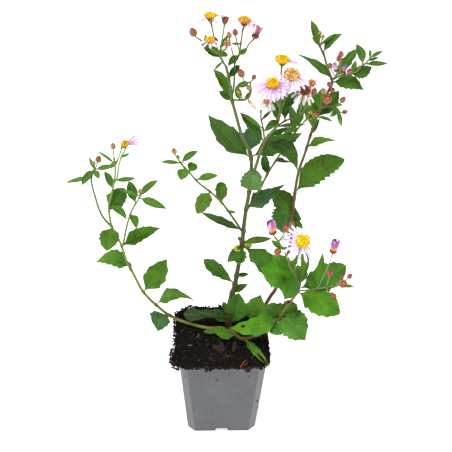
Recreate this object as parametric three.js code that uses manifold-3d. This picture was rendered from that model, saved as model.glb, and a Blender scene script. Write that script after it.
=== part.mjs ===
// A potted aster: a square nursery pot, its soil, and the leafy flowering stems that grow in it.
// Millimetres, +Z up. The origin is the middle of the pot's base, and the pot's front faces -Y.

import * as THREE from 'three';
import { mergeVertices } from 'three/addons/utils/BufferGeometryUtils.js';
import Module from 'manifold-3d';

const wasm = await Module();
wasm.setup();

// Driving dimensions of the pot
const POT_HEIGHT = 92;
const POT_TOP_WIDTH = 83.4;
const POT_BASE_WIDTH = 67;
const POT_WALL = 1.4;
const POT_CORNER = 7;
const RIM_DEPTH = 4.5;
const RIM_PROUD = 3.3;
const FLOOR_UNDERSIDE = 4;
const FLOOR_TOP = 5.6;
const FOOT_RADIUS = 12;
const NOTCH_WIDTH = 14;
const NOTCH_HEIGHT = 4;
const DRAIN_RADIUS = 3.2;
const DRAIN_REACH = 22;
const DRAIN_COUNT = 4;

// Driving dimensions of the soil
const SOIL_TOP = 95;
const SOIL_CLEARANCE = 0.3;
const SOIL_LUMP = 1.1;
const SOIL_SPILL = 4.6;
const CLOD_COUNT = 14;

// Driving dimensions of the plant
const BLADE_THICKNESS = 0.7;
const PETAL_THICKNESS = 0.6;
const PETAL_WIDTH = 2.5;
const ROOT_DEPTH = 14;
const ROOT_HOLE = 0.4;
const PEDICEL_RADIUS = 0.55;
const STRAIGHT_STALK = 9;
const SUNK_SHARE = 0.6;
const SEAT_GAP = 0.3;
const CUP_HEIGHT = 4;
const CUP_SHARE = 0.28;
const HUB_SHARE = 0.45;
const FOLDED_WIDTH = 6;
const LEAF_FOLD = 0.22;

// The plant is laid out in a front view of 452 units square, from this place above the floor.
const VIEW = {
  distance: 950,
  elevation: 33,
  azimuth: -2.3,
  roll: 1.2,
  focal: 1046,
  middle: 226,
  aim: new THREE.Vector3(1.5, 0, 221.6),
};

// Each branch: its name, what it grows from, its stem, its radius at the start and the end in
// millimetres, and its line.
// A point of the line is its place across and down the view, and its depth behind the pot's middle.
const BRANCHES = [
  ['left', 'soil', 'stem_left', 1.7, 0.7, [
    [224, 329, 4.4], [208, 328, 5.4], [195, 324.5, 11], [180, 319.5, 18.5], [168, 313, 21.9],
    [158, 305, 23.3], [150, 298, 23.3], [142, 289, 22.4], [134, 275, 21.7], [127, 262, 20.5],
    [123, 250, 18], [119, 240, 15], [112, 227, 12], [109.5, 215, 9], [109, 205, 7.5],
    [111, 196, 6], [113, 188, 4.5], [115, 175, 3], [115, 165, 3], [114, 158, 3]]],
  ['left_bloom_stalk', 'left', 'stem_left', 0.9, 0.7, [
    [114, 184, 4.5], [117, 178, 3], [119, 165, 0], [122, 155, -1.5]]],
  ['left_thin', 'left', 'stem_left', 0.55, 0.5, [[115, 166, 3], [118, 159, 5.2], [121, 151, 7.5]]],
  ['left_outer', 'left', 'stem_left', 0.9, 0.6, [
    [112, 227, 12], [108, 223, 12], [103, 217, 13.5], [99, 209, 15], [95, 196, 18],
    [92, 185, 19.5], [91.5, 177, 21], [95, 168, 22.5]]],
  ['left_inner', 'left', 'stem_left', 0.9, 0.6, [
    [122, 248, 18], [124, 240, 15], [126, 230, 12], [129, 218, 9], [133, 208, 6],
    [138, 200, 3], [140, 196, 1.5]]],
  ['main', 'soil', 'stem_main', 2.5, 1.15, [
    [228.5, 325, 12], [228.5, 310, 10.7], [231, 297, 9.4], [235, 284, 7.7], [238, 268, 7.1],
    [241, 252, 6], [243, 235, 4.5], [244, 225, 3], [246, 210, 3], [249, 193, 1.5],
    [251, 175, 0], [251, 157, 0], [247, 146, -1.5], [243, 139, -3], [240, 130, -3],
    [236, 115, -4.5], [232, 100, -6], [229, 80, -7.5], [226, 66, -9]]],
  ['side', 'main', 'stem_main', 1.0, 0.6, [
    [242, 233, 4.5], [233, 218, -3], [226, 208, -9], [221, 202, -12], [215, 196, -15],
    [208, 190, -18], [200, 184, -21], [195, 179, -22.5], [189, 172, -24], [184, 167, -25.5],
    [180, 162, -27]]],
  ['centre', 'main', 'stem_main', 1.6, 1.0, [
    [251, 185, 0], [254, 172, -6], [257, 163, -10.5], [260, 153, -15], [264, 142, -19.5],
    [270, 134, -24], [276, 127, -28.5], [279, 117, -33], [281, 108, -36]]],
  ['centre_right', 'centre', 'stem_main', 0.8, 0.6, [
    [276, 127, -28.5], [285, 121, -25.5], [293, 118, -22.5], [303, 112, -19.5]]],
  ['centre_left', 'centre', 'stem_main', 0.8, 0.6, [
    [264, 141, -19.5], [263, 128, -24], [261, 118, -27], [261, 110, -30]]],
  ['thin', 'main', 'stem_main', 0.9, 0.6, [
    [247, 212, 3], [255, 198, 6], [261, 187, 9], [267, 175, 12], [273, 165, 15],
    [279, 156, 16.5], [284, 147, 18], [290, 139, 19.5], [296, 131, 21], [301, 125, 22.5],
    [307, 119, 22.5]]],
  ['head_left', 'main', 'stem_main', 0.9, 0.65, [[226, 66, -9], [222, 60, -10.5], [219, 52, -12]]],
  ['head_left_tall', 'head_left', 'stem_main', 0.65, 0.55, [
    [219, 52, -12], [215, 42, -13.5], [212.5, 30, -15], [211, 21, -15]]],
  ['head_left_low', 'head_left', 'stem_main', 0.65, 0.55, [
    [219, 52, -12], [212, 47, -12], [205, 43.5, -12], [199, 39, -11]]],
  ['head_right', 'main', 'stem_main', 0.9, 0.6, [
    [232, 98, -6], [234, 85, -4.5], [234.5, 72, -3], [235, 62, -1.5], [239, 55, 0],
    [241, 42, 1.5], [243, 28, 3]]],
  ['head_far', 'head_right', 'stem_main', 0.6, 0.55, [
    [239.5, 53, 0], [245, 50, 4.5], [249, 44, 7.5], [254, 39, 10.5]]],
  ['head_low', 'main', 'stem_main', 0.8, 0.55, [
    [233, 99, -6], [243, 100, -10.5], [249, 97, -13.5], [251, 90, -15], [250, 82, -16.5]]],
  ['right', 'soil', 'stem_right', 2.0, 0.9, [
    [251, 322, 18], [262, 310, 19.2], [270, 297, 21.2], [276, 288, 22.5], [284, 268, 25.5],
    [290, 245, 27], [293, 225, 28.5], [293, 212, 28.5], [294, 200, 30], [296, 185, 30],
    [299, 170, 31.5], [304, 156, 33], [309, 140, 33], [313, 127, 34.5], [318, 113, 34.5],
    [323, 103, 36], [328, 92, 36], [332, 84, 37.5], [331, 77, 37.5], [327, 66, 39],
    [324, 55, 39], [322, 51, 39], [319, 44, 40.5]]],
  ['right_outer', 'right', 'stem_right', 0.9, 0.55, [
    [332.5, 80, 37.5], [340, 76, 33], [350, 74, 30], [356, 72, 27], [361, 66, 25.5],
    [366, 63, 24], [370, 58, 22.5]]],
  ['right_buds', 'right', 'stem_right', 0.7, 0.55, [[321, 108, 36], [330, 106, 30], [338, 110, 25.5]]],
  ['low', 'soil', 'stem_low', 1.7, 1.0, [
    [232, 331, 2], [237, 336, -6], [243, 339, -11], [252, 337, -10.5], [262, 333, -9],
    [270, 327, -10], [280, 317, -13.1], [285, 309, -17.2], [291, 301, -21.7], [297, 293, -26.6],
    [300, 284, -30.8]]],
  ['low_right', 'low', 'stem_low', 0.8, 0.6, [
    [298, 291, -27], [308, 290, -29.6], [316, 289, -32.3], [326, 287, -35.2], [337, 285, -38.2]]],
  ['low_left', 'low', 'stem_low', 1.0, 0.6, [
    [300, 285, -30.6], [295, 276, -36.5], [290, 267, -42.8], [288, 260, -46], [284, 251, -49.5],
    [280, 244, -51], [275, 237, -52.5]]],
];

// Each leaf: its branch, its root across and down the view, its tip across and down, how far the tip
// lies behind the root, its width in millimetres, how far its face leans to the viewer from straight
// up, its roll in degrees, how high its rib arches in millimetres, its teeth on each edge, and, for
// some, how far its rib bows to one side.
const LEAVES = [
  ['left', 124, 246, 161, 228, 9, 15, 0.6, 0, 3, 3],
  ['left', 110, 228, 107, 251, -24, 18, 0.8, 0, 3, 2],
  ['left', 130, 267.5, 95, 261, 1, 16, 0.7, 0, 3, 3, 8],
  ['left', 130, 271, 128, 261, 4, 4, 0.6, 0, 0, 0],
  ['left', 143, 291, 165, 259, 16, 21, 0.8, 0, 2, 2, 3],
  ['left', 158, 304, 196, 302, -1, 13, 0.6, 0, 14, 2, -3],
  ['left', 171, 314, 156.5, 331, -14, 20, 0.9, 0, 3, 2, 5],
  ['left', 112, 190, 102, 171, 15, 6.5, 0.6, 0, 1, 0],
  ['left', 115, 181, 136, 178, 4, 4, 0.6, 0, 1, 0],
  ['left_thin', 117, 161, 108, 168, 1, 2.6, 0.6, 0, 1, 0],
  ['left', 114, 163, 97, 151, 2, 2.6, 0.6, 0, 1, 0],
  ['left', 110, 211, 125, 188.5, 10, 17, 0.7, 0, 2, 2],
  ['left', 110, 206, 127, 220, -12, 7, 0.6, 0, 2, 0],
  ['left_outer', 91, 178, 65, 183, -2, 4.4, 0.6, 0, 1, 0],
  ['left_outer', 94.5, 169.5, 81.5, 185.5, -10, 7, 0.6, 0, 2, 0],
  ['left_outer', 94, 170, 99, 179, -9, 4, 0.6, 0, 1, 0],
  ['left_outer', 95, 169, 117, 164.5, 2, 5, 0.6, 0, 3, 0],
  ['left_outer', 95, 168, 89, 157, 6, 3.2, 0.6, 0, 1, 0],
  ['left_inner', 139, 197, 159, 180, 11, 6, 0.6, 0, 2, 0],
  ['left_inner', 139, 198, 167, 209, -10, 8, 0.6, 0, 3, 0],
  ['left_inner', 135, 204, 129, 181, 18, 9.5, 0.7, 0, 2, 0],
  ['left_inner', 140, 196, 120, 190, 1, 4, 0.6, 0, 1, 0],
  ['left_inner', 130, 214, 136, 229, -14, 6.5, 0.6, 0, 2, 0],
  ['main', 228.5, 325, 238, 293, -5, 20, 0.9, 0, 2, 2, 3],
  ['right', 252, 320, 261, 294.5, -4, 24, 0.9, 0, 3, 2],
  ['low', 236, 336, 211.5, 326.5, -2, 11, 0.8, 0, 2, 1, -2],
  ['main', 228.5, 317, 183.5, 314, 3, 14, 0.7, 0, 3, 2],
  ['main', 228.5, 320, 213, 309.5, 2, 7, 0.8, 0, 2, 1],
  ['main', 228.5, 319, 223.5, 301.5, 3, 6, 0.9, 0, 1, 0],
  ['main', 242, 246, 227, 262, -14, 12, 0.7, 0, 2, 2],
  ['main', 243, 243, 253, 246, -5, 4, 0.6, 0, 1, 0],
  ['main', 243, 242, 272.5, 238.5, -2, 6, 0.6, 0, 3, 0],
  ['main', 242, 247.5, 272, 289, -26, 23, 0.9, 0, 3, 2, -4.5],
  ['main', 240, 277, 249, 274, 2, 4.6, 0.6, 0, 0, 0],
  ['main', 234, 293, 248, 284, 1, 7, 0.7, 0, 1, 0],
  ['main', 235, 284.5, 203.5, 259.5, 14, 11.4, 0.6, 0, 2, 2],
  ['main', 242, 231, 200, 212, 16, 8, 0.5, 0, 3, 1],
  ['main', 250.5, 191, 254, 168, -8, 20, 0.8, 0, 2, 2, 1],
  ['main', 249, 157, 208, 115, 30, 22, 0.7, 0, 3, 4, -5],
  ['main', 250.5, 152, 251.5, 126.5, 21, 17, 0.9, 0, 2, 2, 1.5],
  ['main', 251, 157, 302, 133.5, 20, 17, 0.7, 0, 4, 3, 3],
  ['main', 247, 208, 286, 184, 12, 15, 0.7, 0, 3, 3],
  ['side', 222, 203, 221, 182, 18, 11, 0.9, 0, 2, 1],
  ['side', 211, 191, 198, 213, -19, 13, 0.8, 0, 3, 2],
  ['side', 197, 180, 217, 176, 5, 6, 0.6, 0, 2, 0],
  ['side', 188, 172, 195, 163.5, 9, 9, 0.9, 0, 1, 0],
  ['side', 185, 168.5, 181, 180.5, -9, 10, 0.8, 0, 2, 0],
  ['side', 181, 163, 160, 163, 1, 3.4, 0.6, 0, 1, 0],
  ['side', 181, 163, 198, 151, 10, 6, 0.6, 0, 2, 0],
  ['centre', 263, 142, 241, 118, 15, 11, 0.8, 0, 3, 2],
  ['centre_left', 263, 130, 239, 112, 18, 4, 0.6, 0, 2, 0],
  ['centre', 263, 145, 295.5, 170, -19, 14.5, 0.7, 0, 4, 2, -9],
  ['centre', 278, 119, 264, 132, -12, 6.4, 0.6, 0, 2, 0],
  ['centre_left', 262, 120, 272, 110, 6, 3, 0.6, 0, 1, 0],
  ['centre', 277, 122, 270, 97, 20, 5, 0.6, 0, 0, 0],
  ['centre', 279, 116, 277, 96, 14, 6, 0.7, 0, 0, 0],
  ['centre_right', 285, 121, 285, 94, 22, 8, 0.7, 0, 0, 0],
  ['centre', 280, 112, 299, 90, 28, 9, 0.7, 0, 1, 0],
  ['centre', 276, 127, 307, 125, -1, 3.6, 0.6, 0, 2, 0],
  ['thin', 267, 175, 264, 155, 15, 8, 0.9, 0, 1, 1],
  ['thin', 276, 160, 292, 162, -4, 2.8, 0.6, 0, 1, 0],
  ['thin', 299, 128, 283, 134, -6, 5.4, 0.6, 0, 2, 0],
  ['thin', 299, 127, 302, 98, 21, 7, 0.9, 0, 1, 1],
  ['thin', 306, 120, 311, 98, 12, 6, 0.9, 0, 1, 0],
  ['right', 295.5, 193.5, 344.5, 159, 18, 28, 0.7, 0, 4, 4, -4.5],
  ['right', 294, 198, 281.5, 233, 15, 25, 0.8, 0, 4, 3],
  ['right', 293, 221, 303, 229, -9, 6, 0.6, 0, 2, 0],
  ['right', 307, 149, 338, 142, 2, 8, 0.6, 0, 2, 1, -3],
  ['right', 316, 119, 339, 91, 24, 15, 0.8, 0, 2, 3],
  ['right', 318, 117, 333, 122, -5, 3.4, 0.6, 0, 2, 0],
  ['right', 317.5, 113, 312.5, 127.5, -16, 9, 0.8, 0, 2, 1, 4],
  ['right', 318, 110, 312, 88, 14, 8, 0.9, 0, 1, 1],
  ['right', 331, 83, 364, 91, -8, 14, 0.6, 0, 4, 3],
  ['right', 332.5, 81, 296, 54, 12, 8.6, 0.7, 0, 2, 1],
  ['right', 323, 53, 343, 33.5, 11, 7, 0.7, 0, 1, 0],
  ['right', 320, 46, 311, 20, 15, 7, 0.9, 0, 1, 0],
  ['right', 320, 45, 336, 33, 8, 2.8, 0.6, 0, 1, 0],
  ['right_outer', 334, 79, 357, 49, 24, 9, 0.9, 0, 1, 1],
  ['right_outer', 361.5, 67.5, 356, 44, 16, 5.4, 0.9, 0, 1, 0, 2],
  ['right_outer', 366, 63, 388, 63, 0, 4.4, 0.6, 0, 2, 0],
  ['right_outer', 370, 59, 383, 51, 5, 3.4, 0.6, 0, 1, 0],
  ['right_outer', 370, 58, 370.5, 49, 5, 2.6, 0.6, 0, 0, 0],
  ['right_outer', 350, 75, 372, 67, 1, 12, 0.7, 0, 2, 2, 3],
  ['right_outer', 352, 73, 356, 60, 8, 3.4, 0.6, 0, 0, 0],
  ['right_buds', 330, 106, 343, 105, -1, 4, 0.6, 0, 1, 0],
  ['right_buds', 331, 107, 341, 117, -10, 5, 0.6, 0, 2, 0],
  ['low', 280, 317, 229, 328, -8, 18.5, 0.7, 0, 3, 3, -4],
  ['low', 279, 317.5, 305.5, 340.5, -20, 29, 0.8, 0, 3, 2, -2],
  ['low', 281, 316, 265.5, 306.5, 9, 15, 0.8, 0, 2, 2],
  ['low', 276, 322, 307, 321.5, -4, 29, 0.8, 0, 3, 2],
  ['low', 244, 339, 269.5, 367, -38, 8, 0.5, 0, 3, 1],
  ['low', 300, 284, 261, 268, 12, 30, 0.8, 0, 3, 3, 1.5],
  ['low', 299, 291, 339, 314.5, -22, 22, 0.7, 0, 3, 3],
  ['low', 299, 289, 346, 266, 18, 24, 0.8, 0, 3, 2],
  ['low_left', 292, 272, 271.5, 254.5, 10, 12, 0.8, 0, 2, 1],
  ['low_left', 300, 285, 297, 264.5, 10, 13, 0.9, 0, 2, 2, 2],
  ['low_left', 299, 283, 305, 251, 16, 8, 0.9, 0, 1, 0, 2.5],
  ['low_left', 290, 266, 303.5, 253.5, 5, 6.5, 0.8, 0, 2, 0],
  ['low_left', 284, 250, 271, 240, 9, 5, 0.6, 0, 1, 0],
  ['low_right', 316, 289, 323, 252, 22, 5, 0.8, 0, 1, 0],
  ['low_right', 337, 285, 355, 287, 0, 2.8, 0.6, 0, 1, 0],
  ['head_left', 221, 59, 200.5, 43.5, 11, 8, 0.7, 0, 1, 2],
  ['head_left', 219, 53, 228, 34.5, 5, 4.6, 0.8, 0, 0, 0],
  ['head_left', 221, 58, 230, 59, -4, 3.6, 0.6, 0, 1, 0],
  ['head_right', 239, 55, 228, 66, -11, 6, 0.7, 0, 1, 0],
  ['main', 228.7, 78, 239.5, 65, 8, 6, 0.8, 0, 0, 0],
  ['main', 232, 99, 213, 69, 18, 9, 0.9, 0, 2, 2],
  ['main', 233, 102, 219, 91, 11, 7, 0.7, 0, 1, 0],
  ['head_low', 250, 83, 236, 87, -4, 5.4, 0.7, 0, 0, 0],
  ['low', 281, 315.5, 297, 304.5, 4, 17, 0.8, 0, 2, 0],
  ['low_left', 296, 279, 288.5, 299.5, -14, 13, 0.8, 0, 2, 2],
  ['right', 293, 216, 273.5, 190.5, 6, 20, 0.8, 0, 2, 2],
];

// Each bud: its branch, where its stalk starts across and down the view, where it sits across and
// down, how far it lies behind that start, and its length in millimetres.
const BUDS = [
  ['left', 114, 158, 113, 146, 0, 5.6],
  ['left_thin', 121, 151, 122, 147, 0, 3.2],
  ['left_outer', 95, 168, 98.5, 159, 1, 6.6],
  ['left_inner', 140, 196, 140, 191, 0, 4.4],
  ['side', 180, 162, 174, 151, -1, 5.4],
  ['centre_right', 302, 112, 314.5, 91, -9, 5.4],
  ['thin', 306, 120, 315, 115, -4, 5.2],
  ['thin', 306, 120, 310.5, 112.5, 2, 4.2],
  ['head_left_low', 199, 39, 193, 32, 0, 7.4],
  ['head_left', 219, 53, 225, 20, 4, 7.2],
  ['head_left', 219, 53, 215, 40.5, 4, 6],
  ['head_right', 235, 62, 229, 35, 5, 5.2],
  ['head_right', 239, 52, 235.2, 32, -4, 5.4],
  ['head_low', 250, 90, 241, 73, 3, 7],
  ['head_low', 250, 82, 254, 77, 0, 4.4],
  ['head_low', 250, 93, 248.5, 87.5, -4, 4.6],
  ['head_low', 243, 100, 239, 91.5, -4, 4.6],
  ['right', 319, 44, 320, 33, 4, 3.8],
  ['right_outer', 341, 76, 341, 54, -3, 5.6],
  ['right_outer', 337, 78, 330, 65.5, -3, 5.2],
  ['right_outer', 346, 75, 349.5, 71, -6, 5.4],
  ['right', 330, 88, 329, 84, -8, 5],
  ['right', 329, 90, 332.7, 90, -8, 5.2],
  ['right', 324, 101, 324, 91, -8, 5.2],
  ['right_buds', 326, 107, 327.2, 99.5, -4, 8.2],
  ['right_buds', 334, 108, 343, 99.5, 0, 6],
  ['right_buds', 338, 110, 345, 112, -1, 5],
  ['low_right', 326, 287, 330, 273, -6, 6.2],
  ['low_right', 337, 285, 350, 276, 2, 5.2],
  ['low_right', 337, 285, 342, 277.5, 3, 4],
  ['low_right', 335, 285.5, 343, 284, -6, 7.8],
  ['low_right', 326, 287, 334, 296, -5, 5.6],
  ['low_left', 281, 246, 278, 251.5, 3, 6.8],
  ['low_left', 278, 241, 286, 228, -1, 6.4],
  ['low_left', 279, 242, 292, 224, 20, 5.4],
];

// Each bloom: its name, its branch, where its stalk starts across and down the view, where its disc
// sits across and down, how far it lies behind that start, the turn and the height in degrees of the
// way it faces, its disc's width, its petals' length, the first and the last petal's place in degrees
// round it, its count of petals, and how far in degrees the petals droop.
const BLOOMS = [
  ['big', 'centre', 281, 108, 273, 83.5, -9, -4, 60, 11, 11, 172, 376, 15, 22],
  ['tan', 'centre', 281, 108, 292, 75, 4, 8, 68, 13, 10, 175, 370, 12, 26],
  ['gold', 'centre', 281, 108, 282.5, 60, 9, 10, 78, 12, 8, 352, 372, 2, 12],
  ['far', 'centre_right', 302, 112, 312, 83, 4, 20, 78, 6, 7, 190, 340, 5, 36],
  ['brown', 'centre_right', 300, 113, 304.5, 90.5, -8, 6, 58, 11, 9, 195, 320, 6, 52],
  ['hanging', 'centre_left', 261, 110, 266.5, 101, -1, 0, 78, 6.4, 9, 140, 330, 6, 68],
  ['left', 'left_bloom_stalk', 122, 155, 125, 144, 0, 6, 72, 7.5, 9, -2, 50, 4, -4],
  ['crown', 'head_left_tall', 211.6, 25, 210.5, 16, 0, 0, 88, 10, 9, 212, 392, 3, 8],
  ['crown_low', 'head_left', 219, 52.5, 210, 40, -13, -6, 70, 6.4, 5.5, 185, 350, 5, 18],
  ['crown_spent', 'head_left', 219, 52, 227.5, 43.5, -4, 14, 60, 4.4, 4.5, 230, 330, 3, 30],
  ['crown_right', 'head_right', 243, 28, 244.5, 20.5, 0, 14, 84, 11, 5, 300, 352, 3, 12],
  ['low', 'low_left', 293, 272, 303, 241.5, -16, 0, 50, 12, 15, 120, 310, 12, 14],
];

// Each closed bloom: its name, its branch, where its stalk starts across and down the view, where its
// petals' middle sits across and down, how far it lies behind that start, its width and its length.
const CLOSED_BLOOMS = [
  ['crown_closed', 'head_far', 254, 39, 257, 30, 1, 7.4, 8.5],
  ['low_closed', 'low_left', 275, 237, 271.5, 226, 0, 8, 11],
  ['low_right_closed', 'low_right', 318, 289, 335, 245, 2, 7.6, 11],
  ['outer_closed', 'right_outer', 341, 76, 335, 66, -11, 4.4, 8],
  ['outer_purple', 'right_outer', 343, 75.5, 344.5, 68, -3, 3.4, 6],
];

const TAU = 2 * Math.PI;

// Finishes
const FINISH = {
  pot: { color: 0x7b7f86, roughness: 0.5 },
  soil: { color: 0x2b1f18, roughness: 0.95 },
  stem: { color: 0x4f8a2a, roughness: 0.6 },
  petals: { color: 0xe6cdf0, roughness: 0.6 },
  disc: { color: 0xf5c116, roughness: 0.75 },
  closed: { color: 0xc987b4, roughness: 0.6 },
};

// The view's axes and a point of the layout in it
const { eye, forward, across, upward } = viewAxes();

function viewAxes() {
  const height = THREE.MathUtils.degToRad(VIEW.elevation);
  const turn = THREE.MathUtils.degToRad(VIEW.azimuth);
  const roll = THREE.MathUtils.degToRad(VIEW.roll);
  const back = new THREE.Vector3(
    Math.sin(turn) * Math.cos(height),
    -Math.cos(turn) * Math.cos(height),
    Math.sin(height),
  );
  const ahead = back.clone().negate();
  const right = ahead.clone().cross(new THREE.Vector3(0, 0, 1)).normalize();
  const top = right.clone().cross(ahead);
  return {
    eye: VIEW.aim.clone().addScaledVector(back, VIEW.distance),
    forward: ahead,
    across: right.clone().multiplyScalar(Math.cos(roll)).addScaledVector(top, Math.sin(roll)),
    upward: top.clone().multiplyScalar(Math.cos(roll)).addScaledVector(right, -Math.sin(roll)),
  };
}

function place(x, y, depth) {
  const ray = forward.clone().multiplyScalar(VIEW.focal);
  ray.addScaledVector(across, x - VIEW.middle);
  ray.addScaledVector(upward, VIEW.middle - y);
  return eye.clone().addScaledVector(ray, (depth - eye.y) / ray.y);
}

function seen(point) {
  const away = point.clone().sub(eye);
  const scale = VIEW.focal / away.dot(forward);
  return [VIEW.middle + scale * away.dot(across), VIEW.middle - scale * away.dot(upward)];
}

// A closed solid from points and triangles, and the joins of several
function solid(points, triangles) {
  const mesh = new wasm.Mesh({
    numProp: 3,
    vertProperties: new Float32Array(points.flatMap((p) => [p.x, p.y, p.z])),
    triVerts: new Uint32Array(triangles.flat()),
  });
  return new wasm.Manifold(mesh);
}

function solidFromGeometry(geometry) {
  geometry.deleteAttribute('normal');
  geometry.deleteAttribute('uv');
  const merged = mergeVertices(geometry, 1e-4);
  const mesh = new wasm.Mesh({
    numProp: 3,
    vertProperties: new Float32Array(merged.attributes.position.array),
    triVerts: new Uint32Array(merged.index.array),
  });
  return new wasm.Manifold(mesh);
}

function fuse(solids) {
  return wasm.Manifold.union(solids);
}

function sceneMesh(name, shape, finish) {
  const mesh = shape.getMesh();
  const geometry = new THREE.BufferGeometry();
  geometry.setAttribute('position', new THREE.BufferAttribute(mesh.vertProperties, 3));
  geometry.setIndex(new THREE.BufferAttribute(mesh.triVerts, 1));
  geometry.computeVertexNormals();
  const material = new THREE.MeshStandardMaterial({ ...finish, metalness: 0 });
  const result = new THREE.Mesh(geometry, material);
  result.name = name;
  return result;
}

// A closed solid through rings of points, all with the same count, its two ends capped.
// A ring of one point closes that end in a tip.
function loft(rings) {
  const points = rings.flat();
  const starts = [];
  let total = 0;
  for (const ring of rings) {
    starts.push(total);
    total += ring.length;
  }
  const triangles = [];
  for (let k = 0; k + 1 < rings.length; k += 1) {
    triangles.push(...band(rings[k].length, rings[k + 1].length, starts[k], starts[k + 1]));
  }
  const last = rings.length - 1;
  for (let i = 1; i + 1 < rings[0].length; i += 1) {
    triangles.push([starts[0], starts[0] + i + 1, starts[0] + i]);
  }
  for (let i = 1; i + 1 < rings[last].length; i += 1) {
    triangles.push([starts[last], starts[last] + i, starts[last] + i + 1]);
  }
  return solid(points, triangles);
}

function band(countA, countB, startA, startB) {
  const count = Math.max(countA, countB);
  const triangles = [];
  for (let i = 0; i < count; i += 1) {
    const next = (i + 1) % count;
    if (countB === 1) {
      triangles.push([startA + i, startA + next, startB]);
    } else if (countA === 1) {
      triangles.push([startA, startB + next, startB + i]);
    } else {
      triangles.push([startA + i, startA + next, startB + next]);
      triangles.push([startA + i, startB + next, startB + i]);
    }
  }
  return triangles;
}

// Two directions square to an axis
function squareTo(axis, hint = new THREE.Vector3(0, 0, 1)) {
  const guide = Math.abs(axis.dot(hint)) > 0.95 ? new THREE.Vector3(1, 0, 0) : hint;
  const first = guide.clone().cross(axis).normalize();
  return [first, axis.clone().cross(first)];
}

// A round solid along an axis: each row of its profile is a height along the axis and a radius.
// ripple makes every second side of a row stand out or in, turned by one side from row to row.
function turned(base, axis, profile, sides, ripple = 0) {
  const [first, second] = squareTo(axis);
  const rings = profile.map(([height, radius], row) => {
    const centre = base.clone().addScaledVector(axis, height);
    if (radius === 0) {
      return [centre];
    }
    return Array.from({ length: sides }, (_, i) => {
      const angle = (TAU * i) / sides;
      const reach = radius * (1 + ((i + row) % 2 === 0 ? ripple : -ripple));
      return centre.clone()
        .addScaledVector(first, reach * Math.cos(angle))
        .addScaledVector(second, reach * Math.sin(angle));
    });
  });
  return loft(rings);
}

// The way that a line of points runs at each of them
function headings(line) {
  return line.map((_, k) => {
    const before = line[Math.max(0, k - 1)];
    const after = line[Math.min(line.length - 1, k + 1)];
    return after.clone().sub(before).normalize();
  });
}

// A tapered stalk through a line of points. rootShare makes its first ring smaller, to sink it in.
function stalk(line, startRadius, endRadius, sides, rootShare = 1) {
  const ways = headings(line);
  let normal = squareTo(ways[0])[0];
  const rings = line.map((centre, k) => {
    normal = normal.clone().addScaledVector(ways[k], -normal.dot(ways[k])).normalize();
    const binormal = ways[k].clone().cross(normal);
    const taper = startRadius + ((endRadius - startRadius) * k) / (line.length - 1);
    const radius = k === 0 ? taper * rootShare : taper;
    return Array.from({ length: sides }, (_, i) => {
      const angle = (TAU * i) / sides;
      return centre.clone()
        .addScaledVector(normal, radius * Math.cos(angle))
        .addScaledVector(binormal, radius * Math.sin(angle));
    });
  });
  return loft(rings);
}

// A slab of even thickness on both sides of a sheet of triangles. rim is the sheet's edge, in order.
function slab(points, faces, rim, thickness) {
  const normals = points.map(() => new THREE.Vector3());
  for (const [a, b, c] of faces) {
    const side = points[b].clone().sub(points[a]);
    const normal = side.cross(points[c].clone().sub(points[a]));
    for (const corner of [a, b, c]) {
      normals[corner].add(normal);
    }
  }
  const half = thickness / 2;
  const upper = points.map((p, i) => p.clone().addScaledVector(normals[i].normalize(), half));
  const lower = points.map((p, i) => p.clone().addScaledVector(normals[i], -half));
  const count = points.length;
  const triangles = faces.flatMap(([a, b, c]) => [[a, b, c], [count + a, count + c, count + b]]);
  rim.forEach((a, i) => {
    const b = rim[(i + 1) % rim.length];
    triangles.push([b, a, count + a], [b, count + a, count + b]);
  });
  return solid([...upper, ...lower], triangles);
}

// The triangles between two rows of points, where each row may have any count
function zip(countA, countB, startA, startB) {
  const faces = [];
  let a = 0;
  let b = 0;
  while (a + 1 < countA || b + 1 < countB) {
    const nextA = a + 1 < countA ? (a + 1) / (countA - 1) : Infinity;
    const nextB = b + 1 < countB ? (b + 1) / (countB - 1) : Infinity;
    if (nextA <= nextB) {
      faces.push([startA + a, startA + a + 1, startB + b]);
      a += 1;
    } else {
      faces.push([startA + a, startB + b + 1, startB + b]);
      b += 1;
    }
  }
  return faces;
}

// A blade over rows of points that run from its left edge to its right one
function blade(rows, thickness) {
  const starts = rows.map((_, k) => rows.slice(0, k).reduce((sum, row) => sum + row.length, 0));
  const faces = rows.slice(1).flatMap((row, k) => (
    zip(rows[k].length, row.length, starts[k], starts[k + 1])));
  const points = rows.flat();
  const middles = rows.slice(1, -1);
  const rim = [
    ...rows[0].map((_, i) => i),
    ...middles.map((row, k) => starts[k + 1] + row.length - 1),
    points.length - 1,
    ...middles.map((_, k) => starts[k + 1]).reverse(),
  ];
  return slab(points, faces, rim, thickness);
}

// The branches by name, each with its line of points, which starts inside what it grows from
const branches = new Map();
for (const row of BRANCHES) {
  branches.set(row[0], grownBranch(row));
}

function grownBranch([name, parent, stemName, startRadius, endRadius, route]) {
  const line = route.map(([x, y, depth]) => place(x, y, depth));
  if (parent === 'soil') {
    line.unshift(line[0].clone().add(new THREE.Vector3(0, 0, -ROOT_DEPTH)));
  } else {
    line[0] = joint(parent, route[0][0], route[0][1]);
  }
  return { name, parent, stem: stemName, startRadius, endRadius, line };
}

// The point of a branch's middle line that lies closest to a place in the view
function joint(branchName, x, y) {
  const { line } = branches.get(branchName);
  const shares = 10;
  let best = { miss: Infinity };
  for (let k = 0; k < (line.length - 1) * shares; k += 1) {
    const from = Math.floor(k / shares);
    const point = line[from].clone().lerp(line[from + 1], (k % shares) / shares);
    const [px, py] = seen(point);
    const miss = Math.hypot(px - x, py - y);
    if (miss < best.miss) {
      best = { miss, point };
    }
  }
  return best.point;
}

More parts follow.
